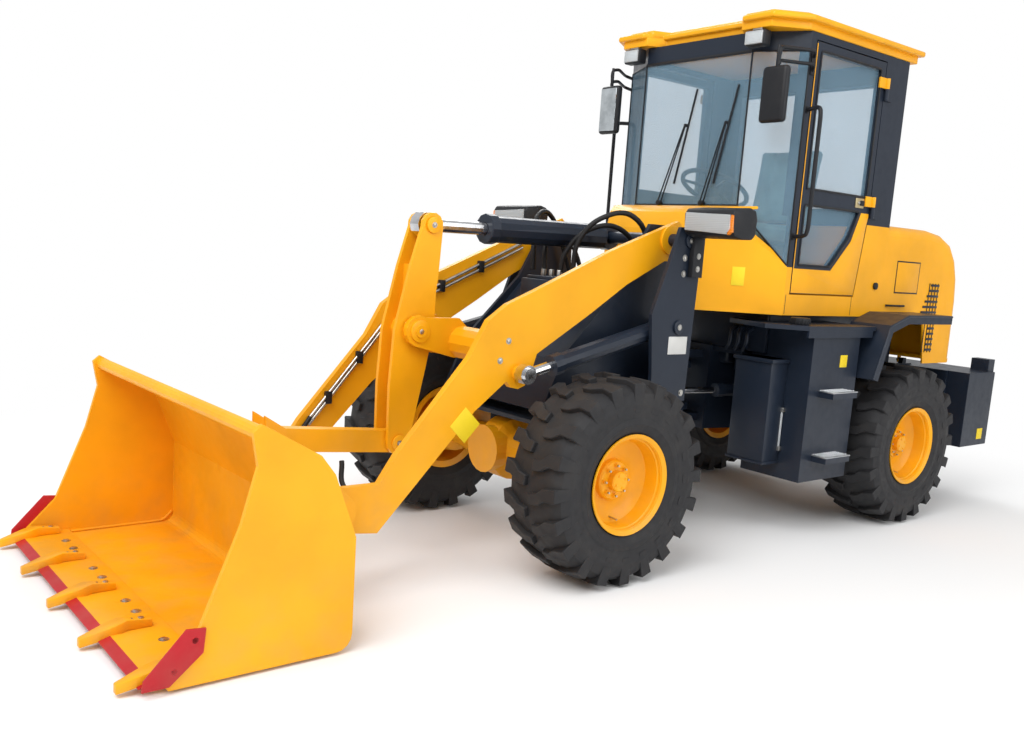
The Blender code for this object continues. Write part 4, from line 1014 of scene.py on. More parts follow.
# ---------------------------------------------------------------- front frame
@dataclass
class FrontFittings:
    """Headlamps, tower bolts, the valve box and the hoses round the towers."""

    tower_x: float = 0.572
    lamp_x: Pair = (0.585, 0.880)

    def build(self) -> None:
        """Build the fittings on the front module."""
        for side in Side:
            lamp = Bench.join(f"headlamp_{side.label}_housing", self.lamp(side))
            hang(lamp, "front_module", None, [f"headlamp_{side.label}"])
        hang(Bench.join("tower_bolts", self.bolts()), "front_module")
        hang(Bench.join("valve_box", self.valve_box()), "front_module")
        hang(Bench.join("tower_hoses", self.hoses()), "front_module", Finish.HOSE)

    def lamp(self, side: Side) -> list[Piece]:
        """A tapered lamp housing on a bracket, with a ribbed lens and an amber corner."""
        s = side.value
        shell_line = [
            (0.560, 1.545), (0.505, 1.560), (0.490, 1.575), (0.484, 1.655), (0.500, 1.678), (0.600, 1.690),
            (0.640, 1.680), (0.655, 1.640), (0.650, 1.570), (0.630, 1.548),
        ]
        shell = Bench.panel("housing", shell_line, across(s, *self.lamp_x), edge=0.010, segments=3)
        lens_line = [
            (s * 0.600, 1.578), (s * 0.845, 1.565), (s * 0.866, 1.590), (s * 0.860, 1.652), (s * 0.600, 1.660)
        ]
        lens = Bench.panel("lens", lens_line, (0.476, 0.500), Plane.FRONT, edge=0.004)
        amber_line = [(s * 0.850, 1.562), (s * 0.876, 1.575), (s * 0.876, 1.650), (s * 0.864, 1.652)]
        amber = Bench.panel("amber", amber_line, (0.480, 0.520), Plane.FRONT, edge=0.002)
        reflector = Bench.slab("reflector", s, (0.612, 0.842), (0.495, 0.503), (1.580, 1.645), 0.002)
        stalk = Bench.slab("stalk", s, (self.tower_x + 0.0005, 0.602), (0.560, 0.632), (1.360, 1.580), 0.003)
        parts = [
            coat(shell, Finish.BLACK), coat(lens, Finish.LENS), coat(amber, Finish.AMBER),
            coat(reflector, Finish.MIRROR), coat(stalk, Finish.BLACK),
        ]
        spots = [at(s * 0.600, 0.596, z) for z in (1.400, 1.460)]
        return parts + bolts(spots, Vector((s, 0, 0)), 0.010, 0.007)

    def bolts(self) -> list[Piece]:
        """Bolts, the pin keepers and a blank plate on the outer towers."""
        parts = []
        for s in SIGNS:
            out = Vector((s, 0, 0))
            spots = ((0.532, 1.449), (0.532, 1.374), (0.400, 0.800), (0.590, 0.800))
            parts += bolts([at(s * self.tower_x, y, z) for y, z in spots], out, 0.011, 0.008)
            for y, z in ((0.560, 1.530), (0.530, 1.120)):
                keeper, bolt = capped(at(s * self.tower_x, y, z), out, (0.034, 0.010), (0.010, 0.006), 24)
                parts += [coat(keeper, Finish.NAVY), bolt]
        low, high = at(self.tower_x + 0.0002, 0.470, 0.990), at(self.tower_x + 0.0022, 0.600, 1.075)
        parts.append(coat(Bench.block("plate", low, high, 0.0006), Finish.WHITE_LABEL))
        return parts

    def valve_box(self) -> list[Piece]:
        """The valve between the towers with its fittings and a blank label."""
        box = Bench.block("box", at(-0.115, 0.100, 1.130), at(0.115, 0.300, 1.300), 0.008)
        lid = Bench.block("lid", at(-0.095, 0.120, 1.299), at(0.095, 0.280, 1.316), 0.004)
        label = Bench.block("label", at(0.020, 0.098, 1.200), at(0.095, 0.1005, 1.245), 0.0005)
        parts = [coat(box, Finish.NAVY), coat(lid, Finish.NAVY),
                 coat(label, Finish.YELLOW_LABEL)]
        for x in (-0.060, 0.0, 0.060):
            start = at(x, 0.200, 1.314)
            fitting = Bench.bar(
                "fitting", start, start + Vector((0, 0, 0.035)), 0.014, vertices=6, edge=0.001
            )
            parts.append(coat(fitting, Finish.STEEL))
        return parts

    def hoses(self) -> list[Piece]:
        """Thick loops between the valve, the towers and the scuttle."""
        parts = []
        for s in SIGNS:
            for lift, x in ((0.0, 0.060), (0.06, 0.150)):
                route = [
                    at(s * x, 0.205, 1.340), at(s * (x + 0.02), 0.215, 1.440 + lift),
                    at(s * (x + 0.10), 0.300, 1.560 + lift),
                    at(s * (x + 0.16), 0.430, 1.570 + lift), at(s * (x + 0.17), 0.560, 1.440),
                    at(s * (x + 0.15), 0.640, 1.200),
                    at(s * (x + 0.10), 0.660, 1.000),
                ]
                parts.append(Bench.tube("hose", route, 0.013))
        return parts


# ---------------------------------------------------------------- cab
@dataclass
class Cab:
    """Roof, lamps, mirrors, rails, wipers, door trim and the parts inside."""

    half: float = 0.620
    pillar_y: float = 1.290
    roof_low: float = 2.6106
    roof_top: float = 2.700
    mirror_x: float = 0.580
    front_half: float = 0.370
    front_y: float = 1.130
    screen_low: float = 1.735

    def build(self) -> None:
        """Build everything on the cab."""
        hang(self.roof(), "rear_module", Finish.ORANGE, ["cab_roof"])
        for side in Side:
            lamp = Bench.join(f"roof_lamp_{side.label}_unit", self.roof_lamp(side))
            hang(lamp, "rear_module", None, [f"roof_lamp_{side.label}"])
            mirror = Bench.join(f"mirror_{side.label}_unit", self.mirror(side))
            hang(mirror, "rear_module", None, [f"mirror_{side.label}"])
            hang(Bench.join(f"handrail_{side.label}", self.handrail(side)), "rear_module")
            trim = Bench.join(f"door_trim_{side.label}", self.door_trim(side))
            hang(trim, f"{side.label}_door")
        hang(Bench.join("wipers", self.wipers()), "rear_module", Finish.BLACK)
        hang(Bench.join("window_seals", self.seals()), "rear_module", Finish.BLACK)
        hang(Bench.join("body_seams", self.body_trim()), "rear_module")
        hang(self.steering_wheel(), "rear_module", Finish.BLACK, ["steering_wheel"])
        hang(self.scuttle(), "rear_module", Finish.ORANGE)

    def scuttle(self) -> Piece:
        """The bulging lid in front of the windscreen, which narrows to the nose."""
        back_y = self.front_y - 0.006
        top = [
            (0.866, 1.500), (0.884, 1.620), (0.930, 1.690), (1.000, 1.722), (back_y, self.screen_low + 0.002)
        ]
        under = [(y + 0.012, z - 0.014) for y, z in reversed(top[1:-1])]
        outline = [*top, (back_y, self.screen_low - 0.014), *under, (0.880, 1.500)]
        lid = Bench.panel("scuttle", outline, (-0.5, 0.5), edge=0.0)
        nose_y, nose_half, wide_y, gap = 0.870, 0.330, 1.268, 0.008
        slope = (self.half - nose_half) / (wide_y - nose_y)
        for vertex in lid.data.vertices:
            vertex.co.x *= 2 * (nose_half + (vertex.co.y - at(0, nose_y, 0).y) * slope) - gap
        return Bench.bevel(lid, 0.004, 2)

    def roof(self) -> Piece:
        """The roof shell: a brim with two horns in front and a raised crown."""
        x, front, rear = 0.655, 1.050, 2.285
        right = [(x, rear), (x, front + 0.180), (0.540, front), (0.345, front), (0.290, 1.155)]
        outline = right + [(-a, b) for a, b in reversed(right)]
        brim = Bench.panel(
            "brim", outline, (self.roof_low + 0.038, self.roof_top - 0.022), Plane.TOP, 0.010, 3
        )
        middle = 1.62
        band_line = [(a * 0.955, middle + (b - middle) * 0.960) for a, b in outline]
        band = Bench.panel("band", band_line, (self.roof_low, self.roof_low + 0.045), Plane.TOP, 0.004, 2)
        crown_line = [(a * 0.925, middle + (b - middle) * 0.925) for a, b in outline]
        crown = Bench.panel("crown", crown_line, (self.roof_top - 0.050, self.roof_top), Plane.TOP, 0.020, 4)
        eyes = [
            Bench.tube("eye", [at(s * 0.45, 2.19 - d, self.roof_top - 0.046 + h) for d, h in
                               ((0.0, 0.0), (0.004, 0.030), (0.024, 0.040), (0.044, 0.030), (0.048, 0.0))],
                               0.004)
            for s in SIGNS
        ]
        return Bench.join("cab_roof_shell", [brim, band, crown, *eyes])

    def roof_lamp(self, side: Side) -> list[Piece]:
        """A square work lamp on a bracket under the roof's horn."""
        s = side.value
        x, y = across(s, 0.370, 0.488), 1.055
        shell = Bench.block("shell", at(x[0], y, 2.522), at(x[1], y + 0.063, 2.600), 0.010, 3)
        foot = Bench.block(
            "foot", at(x[0] + 0.03, y + 0.018, 2.598), at(x[1] - 0.03, y + 0.050, 2.6104), 0.003
        )
        lens = Bench.block(
            "lens", at(x[0] + 0.006, y - 0.008, 2.529), at(x[1] - 0.006, y + 0.002, 2.593), 0.004
        )
        back = Bench.block(
            "back", at(x[0] + 0.012, y - 0.002, 2.535), at(x[1] - 0.012, y + 0.004, 2.588), 0.003
        )
        return [
            coat(shell, Finish.BLACK), coat(foot, Finish.STEEL), coat(lens, Finish.LENS),
            coat(back, Finish.MIRROR),
        ]

    def mirror(self, side: Side) -> list[Piece]:
        """A mirror case on two tubular loops from the front pillar."""
        s, x = side.value, self.mirror_x
        case = Bench.slab("case", s, (x - 0.075, x + 0.075), (1.045, 1.090), (2.140, 2.412), 0.020, 4)
        face = 1.0885 if side is Side.LEFT else 1.0425
        glass = Bench.slab("glass", s, (x - 0.062, x + 0.062), (face, face + 0.004), (2.156, 2.396), 0.002)
        loops = []
        for z in (2.505, 2.440):
            route = [
                at(s * (self.half + 0.002), 1.296, z - 0.020), at(s * (self.half + 0.045), 1.250, z),
                at(s * (x - 0.010), 1.100, z + 0.004), at(s * (x + 0.012), 1.068, z - 0.004),
                at(s * x, 1.066, 2.400),
            ]
            loops.append(Bench.tube("loop", route, 0.009, smooth=False))
        plate = Bench.slab(
            "plate", s, (self.half + 0.0005, self.half + 0.008), (1.276, 1.309), (2.400, 2.520), 0.002
        )
        post = Bench.bar("post", at(s * x, 1.066, 2.400), at(s * x, 1.066, 2.512), 0.008, vertices=12)
        return [coat(piece, Finish.BLACK) for piece in (case, *loops, plate, post)] + [
            coat(glass, Finish.MIRROR)]

    def handrail(self, side: Side) -> list[Piece]:
        """The black grab rail beside the door, in front of the leaf's sweep."""
        s = side.value
        x = self.half
        route = [
            at(s * (x + 0.002), 1.290, 2.230), at(s * (x + 0.095), 1.262, 2.236),
            at(s * (x + 0.108), 1.256, 2.200),
            at(s * (x + 0.108), 1.256, 1.640), at(s * (x + 0.095), 1.262, 1.600),
            at(s * (x + 0.002), 1.290, 1.596),
        ]
        rail = Bench.tube("rail", route, 0.011, smooth=False)
        parts = [coat(rail, Finish.BLACK)]
        for z in (2.230, 1.596):
            foot = Bench.bar("foot", at(s * x, 1.290, z), at(s * (x + 0.006), 1.290, z), 0.018, vertices=20)
            parts.append(coat(foot, Finish.BLACK))
        return parts

    def door_trim(self, side: Side) -> list[Piece]:
        """The leaf's seals, belt, lock, handle and hinge straps."""
        s, x = side.value, self.half
        lower = [(1.360, 1.455), (1.643, 1.455), (1.795, 1.617), (1.866, 1.765), (1.360, 1.765)]
        pane = Bench.panel("lower_glass", [
            (1.362, 1.457), (1.641, 1.457), (1.792, 1.618), (1.863, 1.763), (1.362, 1.763)],
            across(s, x - 0.020, x - 0.014), edge=0.001)
        parts = [coat(pane, Finish.GLASS)]
        for outline in (lower, [(1.362, 1.847), (1.918, 1.847), (1.918, 2.528), (1.362, 2.528)]):
            route = [at(s * (x + 0.001), y, z) for y, z in [*outline, outline[0]]]
            parts.append(coat(Bench.tube("seal", route, 0.006, smooth=False, rings=2), Finish.BLACK))
        lock = Bench.slab("lock", s, (x - 0.001, x + 0.006), (1.815, 1.895), (1.785, 1.838), 0.003)
        barrel = Bench.bar(
            "barrel", at(s * (x + 0.005), 1.840, 1.812), at(s * (x + 0.012), 1.840, 1.812), 0.009
        )
        grip = Bench.slab("grip", s, (x + 0.004, x + 0.014), (1.852, 1.888), (1.798, 1.826), 0.004)
        parts += [coat(lock, Finish.GOLD), coat(barrel, Finish.STEEL), coat(grip, Finish.BLACK)]
        kick = Bench.panel(
            "kick", [(1.320, 1.308), (1.896, 1.308), (1.946, 1.690), (1.958, 1.740), (1.958, 1.760),
            (1.885, 1.760),
                     (1.816, 1.600), (1.655, 1.435), (1.345, 1.435), (1.320, 1.435)],
            across(s, x - 0.001, x + 0.0015), edge=0.0008)
        parts.append(coat(kick, Finish.ORANGE))
        edge_line = Bench.slab("edge", s, (x - 0.001, x + 0.0015), (1.320, 1.326), (1.435, 2.560), 0.0006)
        parts.append(coat(edge_line, Finish.ORANGE))
        for low, high in ((1.797, 1.853), (2.432, 2.488)):
            strap = Bench.slab("strap", s, (x + 0.001, x + 0.013), (1.900, 1.972), (low, high), 0.003)
            knuckle = Bench.bar(
                "knuckle", at(s * (x + 0.012), 1.974, low), at(s * (x + 0.012), 1.974, high), 0.0125
            )
            parts += [coat(strap, Finish.ORANGE), coat(knuckle, Finish.ORANGE)]
        return parts

    def wipers(self) -> list[Piece]:
        """Two wipers, each a double arm with a long blade, parked upright."""
        parts = []
        y = self.front_y - 0.010
        for foot, top in ((-0.17, -0.02), (0.14, 0.26)):
            pivot = at(foot, y - 0.012, self.screen_low + 0.015)
            parts.append(
                Bench.bar("pivot", pivot + Vector((0, 0.016, 0)), pivot - Vector((0, 0.012, 0)), 0.014)
            )
            for shift in (-0.012, 0.012):
                route = [
                    pivot + Vector((shift, 0, 0)), at(top + shift * 0.3, y - 0.018, self.screen_low + 0.430)
                ]
                parts.append(Bench.tube("arm", route, 0.004, rings=2))
            low, high = at(top - 0.060, y, self.screen_low + 0.120), at(
                top + 0.050, y, self.screen_low + 0.620
            )
            parts.append(Bench.tube("blade", [low, high], 0.006, rings=2))
            joint = at(top - 0.002, y - 0.010, self.screen_low + 0.430)
            parts.append(
                Bench.bar("joint", joint + Vector((0, 0.010, 0)), joint - Vector((0, 0.008, 0)), 0.009)
            )
        return parts

    def seals(self) -> list[Piece]:
        """Black edges round the windscreen's three panes and the rear window."""
        front, x, top = self.front_y - 0.002, self.half, 2.515
        parts = []
        for s in SIGNS:
            corner = [
                at(s * self.front_half, front, self.screen_low), at(s * self.front_half, front, top),
                at(s * x, self.pillar_y - 0.022, top), at(s * x, self.pillar_y - 0.022, 1.444),
                at(s * self.front_half, front, self.screen_low),
            ]
            parts.append(Bench.tube("corner", corner, 0.005, smooth=False, rings=2))
        for z in (self.screen_low + 0.002, top):
            route = [at(-self.front_half, front, z), at(self.front_half, front, z)]
            parts.append(Bench.tube("rim", route, 0.009, rings=2))
        route = [at(-0.5, 2.188, 1.795), at(0.5, 2.188, 1.795), at(0.5, 2.188, 2.495), at(-0.5, 2.188, 2.495),
                 at(-0.5, 2.188, 1.795)]
        parts.append(Bench.tube("rear", route, 0.009, smooth=False, rings=2))
        return parts

    def body_trim(self) -> list[Piece]:
        """Blank labels, seam lines and the knob on the painted lower half."""
        x = self.half
        parts = []
        for s in SIGNS:
            for y in (1.284, 1.890):
                seam = Bench.slab(
                    "seam", s, (x - 0.003, x + 0.0006), (y - 0.002, y + 0.002), (1.196, 1.298), 0.0005
                )
                parts.append(coat(seam, Finish.BLACK))
            along, out = Vector((-s * 0.589, -0.808, 0)), Vector((s * 0.808, -0.589, 0))
            turn = Matrix((along, Vector((0, 0, 1)), out)).transposed().to_4x4()
            label = Bench.block(
                "label", Vector((-0.034, -0.048, 0.0002)), Vector((0.034, 0.048, 0.002)), 0.0005
            )
            label.data.transform(Matrix.Translation(at(s * 0.4725, 1.0640, 1.376)) @ turn)
            parts.append(coat(label, Finish.YELLOW_LABEL))
            knob = Bench.bar(
                "knob", at(s * x, 2.110, 1.366), at(s * (x + 0.012), 2.110, 1.366), 0.020, vertices=24
            )
            parts.append(coat(knob, Finish.BLACK))
        return parts

    def steering_wheel(self) -> Piece:
        """A ribbed rim on three spokes with a round boss, tilted towards the driver."""
        centre = at(0, 1.372, 1.850)
        tilt = math.atan(0.5)
        axis = Vector((0, math.sin(tilt), math.cos(tilt)))
        section = [(0.190 + 0.0135 * math.cos(a), 0.0135 * math.sin(a)) for a in
                   [math.radians(36 * i) for i in range(10)]]
        rim = Bench.turned("rim", section + [section[0]], centre, axis, 48)
        sideways = Vector((1, 0, 0))
        up = axis.cross(sideways)
        parts = [
            rim, Bench.bar("hub", centre - axis * 0.070, centre + axis * 0.014, 0.034, vertices=28,
            edge=0.004)
        ]
        for degrees in (90, 210, 330):
            out = sideways * math.cos(math.radians(degrees)) + up * math.sin(math.radians(degrees))
            parts.append(
                Bench.bar("spoke", centre + out * 0.02, centre + out * 0.186, 0.010, 0.008, vertices=12)
            )
        return Bench.join("steering_wheel_ribbed", parts)


@dataclass
class Seat:
    """The driver's seat: crowned cushion and back under a loose clear wrap."""

    steps: int = 20
    voxel: float = 0.012
    cap: float = 0.016

    def build(self) -> None:
        """Build the pads and the base and hang them in the cab."""
        foot_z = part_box("seat")[0][2]
        cushion = self.pad("seat_cushion", at(-0.225, 1.500, 1.580), at(0.225, 1.950, 1.665))
        back = self.pad("seat_back", at(-0.215, 1.955, 1.690), at(0.215, 2.025, 2.150))
        lean = Matrix.Rotation(-math.radians(9), 4, "X")
        foot = Matrix.Translation(at(0, 1.965, 1.690))
        back.data.transform(foot @ lean @ foot.inverted())
        base = Bench.block("seat_base", at(-0.170, 1.570, foot_z), at(0.170, 1.890, 1.570), 0.012, 3)
        bellows = [base]
        for number in range(4):
            z = foot_z + 0.060 + number * 0.055
            bellows.append(Bench.block("fold", at(-0.180, 1.562, z), at(0.180, 1.898, z + 0.030), 0.010, 3))
        hang(cushion, "rear_module", Finish.SEAT, ["seat"])
        hang(back, "rear_module", Finish.SEAT)
        hang(Bench.join("seat_base_bellows", bellows), "rear_module", Finish.BLACK)

    def pad(self, name: str, low: Vector, high: Vector) -> Piece:
        """A padded block that cloth pressure has swelled, with two sewn channels."""
        piece = Bench.block(name, low, high, 0.022, 4)
        Bench.only(piece)
        piece.data.remesh_voxel_size = self.voxel
        bpy.ops.object.voxel_remesh()
        self.swell(piece)
        self.channel(piece, low, high)
        Bench.only(piece)
        bpy.ops.object.shade_smooth()
        return piece

    def swell(self, piece: Piece) -> None:
        """Blow a pad up a little with cloth pressure and keep the result."""
        rest = [vertex.co.copy() for vertex in piece.data.vertices]
        cloth = piece.modifiers.new("cloth", "CLOTH")
        cloth.settings.use_pressure = True
        cloth.settings.uniform_pressure_force = 4.0
        cloth.settings.effector_weights.gravity = 0.0
        scene = bpy.context.scene
        for number in range(1, self.steps + 1):
            scene.frame_set(number)
        Bench.only(piece)
        bpy.ops.object.modifier_apply(modifier=cloth.name)
        for vertex, start in zip(piece.data.vertices, rest):
            shift = vertex.co - start
            if shift.length > self.cap:
                vertex.co = start + shift.normalized() * self.cap
        scene.frame_set(1)

    @staticmethod
    def channel(piece: Piece, low: Vector, high: Vector) -> None:
        """Press two sewn lines into a pad's top or front."""
        for vertex in piece.data.vertices:
            for share in (0.30, 0.70):
                line = low.x + (high.x - low.x) * share
                near = max(0.0, 1.0 - abs(vertex.co.x - line) / 0.016)
                if near and vertex.normal.dot(Vector((0, -0.5, 1))) > 0.3:
                    vertex.co -= vertex.normal * 0.007 * near**2


# ---------------------------------------------------------------- hood, tanks, counterweight
@dataclass
class Hood:
    """The rear hood with its side grilles, blank plate and handle."""

    half: float = 0.615
    front_y: float = 2.196
    rear_y: float = 3.110
    low_z: float = 0.905
    sill_z: float = 1.195
    top_z: float = 1.715
    round: float = 0.060
    skin: float = 0.010
    slats: int = 13

    def build(self) -> None:
        """Build the hood and hang it on its hinge."""
        parts = [self.shell()]
        for side in Side:
            parts += self.side_details(side)
        parts += self.rear_details()
        hang(Bench.join("hood_panels", parts), "hood", None, ["hood"])

    def profile(self) -> list[Pair]:
        """The hood's side outline."""
        rear, top = self.rear_y, self.top_z
        return [
            (self.front_y, self.sill_z), (2.700, self.sill_z), (2.760, self.low_z), (rear, self.low_z),
            (rear - 0.010, 1.300), (rear - 0.030, 1.440), (rear - 0.080, 1.560), (rear - 0.160, 1.650),
            (rear - 0.280, top - 0.018), (rear - 0.440, top), (self.front_y, top),
        ]

    def shell(self) -> Piece:
        """One pressed shell, round along its top and rear edges, open below and in front."""
        piece = Bench.panel("hood_shell", self.profile(), (-self.half, self.half), edge=0.0)
        high, rear = self.sill_z + 0.05, at(0, self.rear_y - 0.05, 0).y
        for edge in piece.data.edges:
            ends = [piece.data.vertices[number].co for number in edge.vertices]
            on_side = abs(ends[0].x - ends[1].x) < 0.001
            rounded = all(end.z > high for end in ends) or all(end.y > rear for end in ends)
            edge.select = on_side and rounded and not all(
                end.y < at(0, self.front_y + 0.001, 0).y for end in ends
            )
        self.work(piece, "EDGE", lambda: bpy.ops.mesh.bevel(offset=self.round, segments=6, affect="EDGES"))
        for face in piece.data.polygons:
            front = face.normal.y < -0.9 and face.center.y < at(0, self.front_y + 0.01, 0).y
            face.select = front or face.normal.z < -0.5 or (
                face.normal.y < -0.5 and face.center.z < self.sill_z
            )
        self.work(piece, "FACE", lambda: bpy.ops.mesh.delete(type="FACE"))
        wall = piece.modifiers.new("wall", "SOLIDIFY")
        wall.thickness = self.skin
        wall.offset = -1.0
        Bench.only(piece)
        bpy.ops.object.modifier_apply(modifier=wall.name)
        lugs = [
            Bench.block("lug", at(x, 3.084, 0.862), at(x + 0.016, 3.109, 0.930), 0.002)
            for x in (-0.278, 0.262)
        ]
        beam = Bench.block(
            "beam", at(-self.half + 0.012, 3.080, 0.906), at(self.half - 0.012, 3.096, 0.930), 0.002
        )
        Bench.bevel(piece, 0.0)
        return coat(Bench.join("hood_shell", [piece, beam, *lugs]), Finish.ORANGE)

    @staticmethod
    def work(piece: Piece, kind: str, action: Callable[[], object]) -> None:
        """Run one edit-mode action on what is selected."""
        Bench.only(piece)
        items = piece.data.edges if kind == "EDGE" else piece.data.polygons
        picked = {item.index for item in items if item.select}
        bpy.ops.object.mode_set(mode="EDIT")
        bpy.ops.mesh.select_mode(type=kind)
        bpy.ops.mesh.select_all(action="DESELECT")
        bpy.ops.object.mode_set(mode="OBJECT")
        for item in piece.data.edges if kind == "EDGE" else piece.data.polygons:
            item.select = item.index in picked
        bpy.ops.object.mode_set(mode="EDIT")
        action()
        bpy.ops.object.mode_set(mode="OBJECT")

    def side_details(self, side: Side) -> list[Piece]:
        """The grille with its slats, the framed blank plate and the handle."""
        s, x = side.value, self.half
        grille = [
            (2.735, 1.400), (2.860, 1.438), (2.870, 0.947), (2.762, 0.947), (2.712, 1.180), (2.640, 1.215)
        ]
        panel = Bench.panel("grille", grille, across(s, x - 0.001, x + 0.0025), edge=0.0)
        parts = [coat(panel, Finish.BLACK)]
        for number in range(self.slats):
            z = 0.985 + number * 0.033
            front = 2.640 + (z - 1.215) * 0.51 if z > 1.215 else 2.745
            slat = Bench.slab(
                "slat", s, (x + 0.001, x + 0.006), (front + 0.018, 2.840), (z, z + 0.014), 0.002
            )
            parts.append(coat(slat, Finish.NAVY))
        for number in range(4):
            y = 2.725 + number * 0.034
            bar = Bench.slab("upright", s, (x + 0.001, x + 0.004), (y, y + 0.006), (0.975, 1.400), 0.001)
            parts.append(coat(bar, Finish.BLACK))
        frame_line = Bench.slab("frame", s, (x, x + 0.0015), (2.330, 2.590), (1.330, 1.520), 0.0006)
        plate = Bench.slab("plate", s, (x + 0.001, x + 0.0025), (2.338, 2.582), (1.338, 1.512), 0.0006)
        parts += [coat(frame_line, Finish.BLACK), coat(plate, Finish.ORANGE)]
        grip = [at(s * (x + 0.001), 2.255, 1.258), at(s * (x + 0.022), 2.270, 1.258),
            at(s * (x + 0.022), 2.430, 1.258),
                at(s * (x + 0.001), 2.445, 1.258)]
        parts.append(coat(Bench.tube("handle", grip, 0.006, smooth=False), Finish.BLACK))
        return parts

    def rear_details(self) -> list[Piece]:
        """The rear radiator grille."""
        y = self.rear_y
        surround = Bench.block("surround", at(-0.430, y - 0.001, 0.950), at(0.430, y + 0.004, 1.370), 0.003)
        parts = [coat(surround, Finish.BLACK)]
        for number in range(14):
            z = 0.965 + number * 0.028
            bar = Bench.block("bar", at(-0.415, y + 0.003, z), at(0.415, y + 0.012, z + 0.012), 0.002)
            parts.append(coat(bar, Finish.NAVY))
        return parts


@dataclass
class SideTanks:
    """Steps, treads, filler, gauge and labels on the two tanks."""

    outer: float = 0.780
    front: float = 1.345

    def build(self) -> None:
        """Build the fittings and hang them on the rear module."""
        for side in Side:
            hang(Bench.join(f"tank_fittings_{side.label}", self.fittings(side)), "rear_module")
            hang(
                Bench.join(f"fender_edge_{side.label}", self.fender_edge(side)), "rear_module",
                Finish.NAVY
            )
            hang(
                Bench.join(f"front_post_{side.label}", self.front_post(side)), "rear_module",
                Finish.NAVY
            )
        hang(Bench.join("underfloor", self.underfloor()), "rear_module", Finish.NAVY)

    def front_post(self, side: Side) -> list[Piece]:
        """The narrow box in front of a tank, with a folded rim and a lug."""
        x = across(side.value, 0.405, 0.640)
        y, z = (1.205, self.front - 0.0004), (0.400, 0.960)
        return [
            Bench.block("post", at(x[0], y[0], z[0]), at(x[1], y[1], z[1]), 0.006),
            Bench.block("rim", at(x[0] - 0.012, y[0] - 0.012, z[1] - 0.020), at(x[1] + 0.012, y[1], z[1]),
            0.003),
            Bench.block("foot", at(x[0] - 0.006, y[0] - 0.006, z[0]), at(x[1] + 0.006, y[1], z[0] + 0.014),
            0.003),
        ]

    def underfloor(self) -> list[Piece]:
        """What fills the space under the cab: bulkhead, gearbox case, side rails and pipes."""
        parts = [
            Bench.block("bulkhead", at(-0.500, 1.316, 0.9764), at(0.500, 1.336, 1.188), 0.003),
            Bench.block("case", at(-0.225, 1.360, 0.880), at(0.225, 2.180, 1.170), 0.030, 3),
        ]
        for s in SIGNS:
            x = across(s, 0.480, 0.505)
            parts.append(Bench.block("rail", at(x[0], 1.330, 1.132), at(x[1], 2.180, 1.1895), 0.003))
            for number in range(3):
                reach = 0.30 + number * 0.055
                route = [at(s * reach, 1.318, 1.100), at(s * reach, 1.285, 1.085),
                    at(s * reach, 1.270, 1.010),
                         at(s * (reach - 0.03), 1.285, 0.9755)]
                parts.append(Bench.tube("pipe", route, 0.012))
        return parts

    def fittings(self, side: Side) -> list[Piece]:
        """Serrated treads on the two steps, and on the left the cap, gauge and label."""
        s = side.value
        parts = []
        for z in (0.460, 0.805):
            x = across(s, 0.772, 0.8695)
            tread = Bench.block("tread", at(x[0], 1.436, z), at(x[1], 1.664, z + 0.006), 0.002)
            parts.append(coat(tread, Finish.ALUMINIUM))
            for row in range(4):
                for column in range(11):
                    spot = at(s * (0.784 + row * 0.022), 1.450 + column * 0.020, z + 0.005)
                    tooth = Bench.bar(
                        "tooth", spot, spot + Vector((0, 0, 0.005)), 0.0055, 0.002, vertices=6, edge=0.0
                    )
                    parts.append(coat(tooth, Finish.ALUMINIUM))
        if side is Side.LEFT:
            foot = at(0.700, 1.320, 1.150)
            cap = Bench.bar("cap", foot, foot + Vector((0, 0, 0.036)), 0.050, vertices=36, edge=0.005)
            parts.append(coat(cap, Finish.BLACK))
            for number in range(18):
                angle = 2 * math.pi * number / 18
                out = Vector((math.cos(angle), math.sin(angle), 0))
                rib = Bench.bar(
                    "rib", foot + out * 0.050 + Vector((0, 0, 0.004)),
                    foot + out * 0.050 + Vector((0, 0, 0.030)), 0.003,
                    vertices=8, edge=0.0)
                parts.append(coat(rib, Finish.BLACK))
            label = Bench.block(
                "label", at(self.outer + 0.0002, 1.600, 0.930), at(self.outer + 0.002, 1.665, 0.995), 0.0005
            )
            parts.append(coat(label, Finish.YELLOW_LABEL))
            low, high = at(0.640, self.front - 0.012, 0.480), at(0.640, self.front - 0.012, 0.690)
            parts.append(coat(Bench.bar("gauge", low, high, 0.007, vertices=12), Finish.LENS))
            for end in (low, high):
                mount = Bench.block(
                    "mount", end - Vector((0.014, 0.010, 0.012)), end + Vector((0.014, 0.0125, 0.012)), 0.003
                )
                parts.append(coat(mount, Finish.STEEL))
        return parts

    def fender_edge(self, side: Side) -> list[Piece]:
        """A rolled bead along the fender's outer edge."""
        s = side.value
        route = [
            at(s * 0.872, y, z) for y, z in ((1.795, 0.872), (1.907, 1.160), (2.081, 1.215), (2.556, 1.215))
        ]
        return [Bench.tube("bead", route, 0.006, smooth=False)]


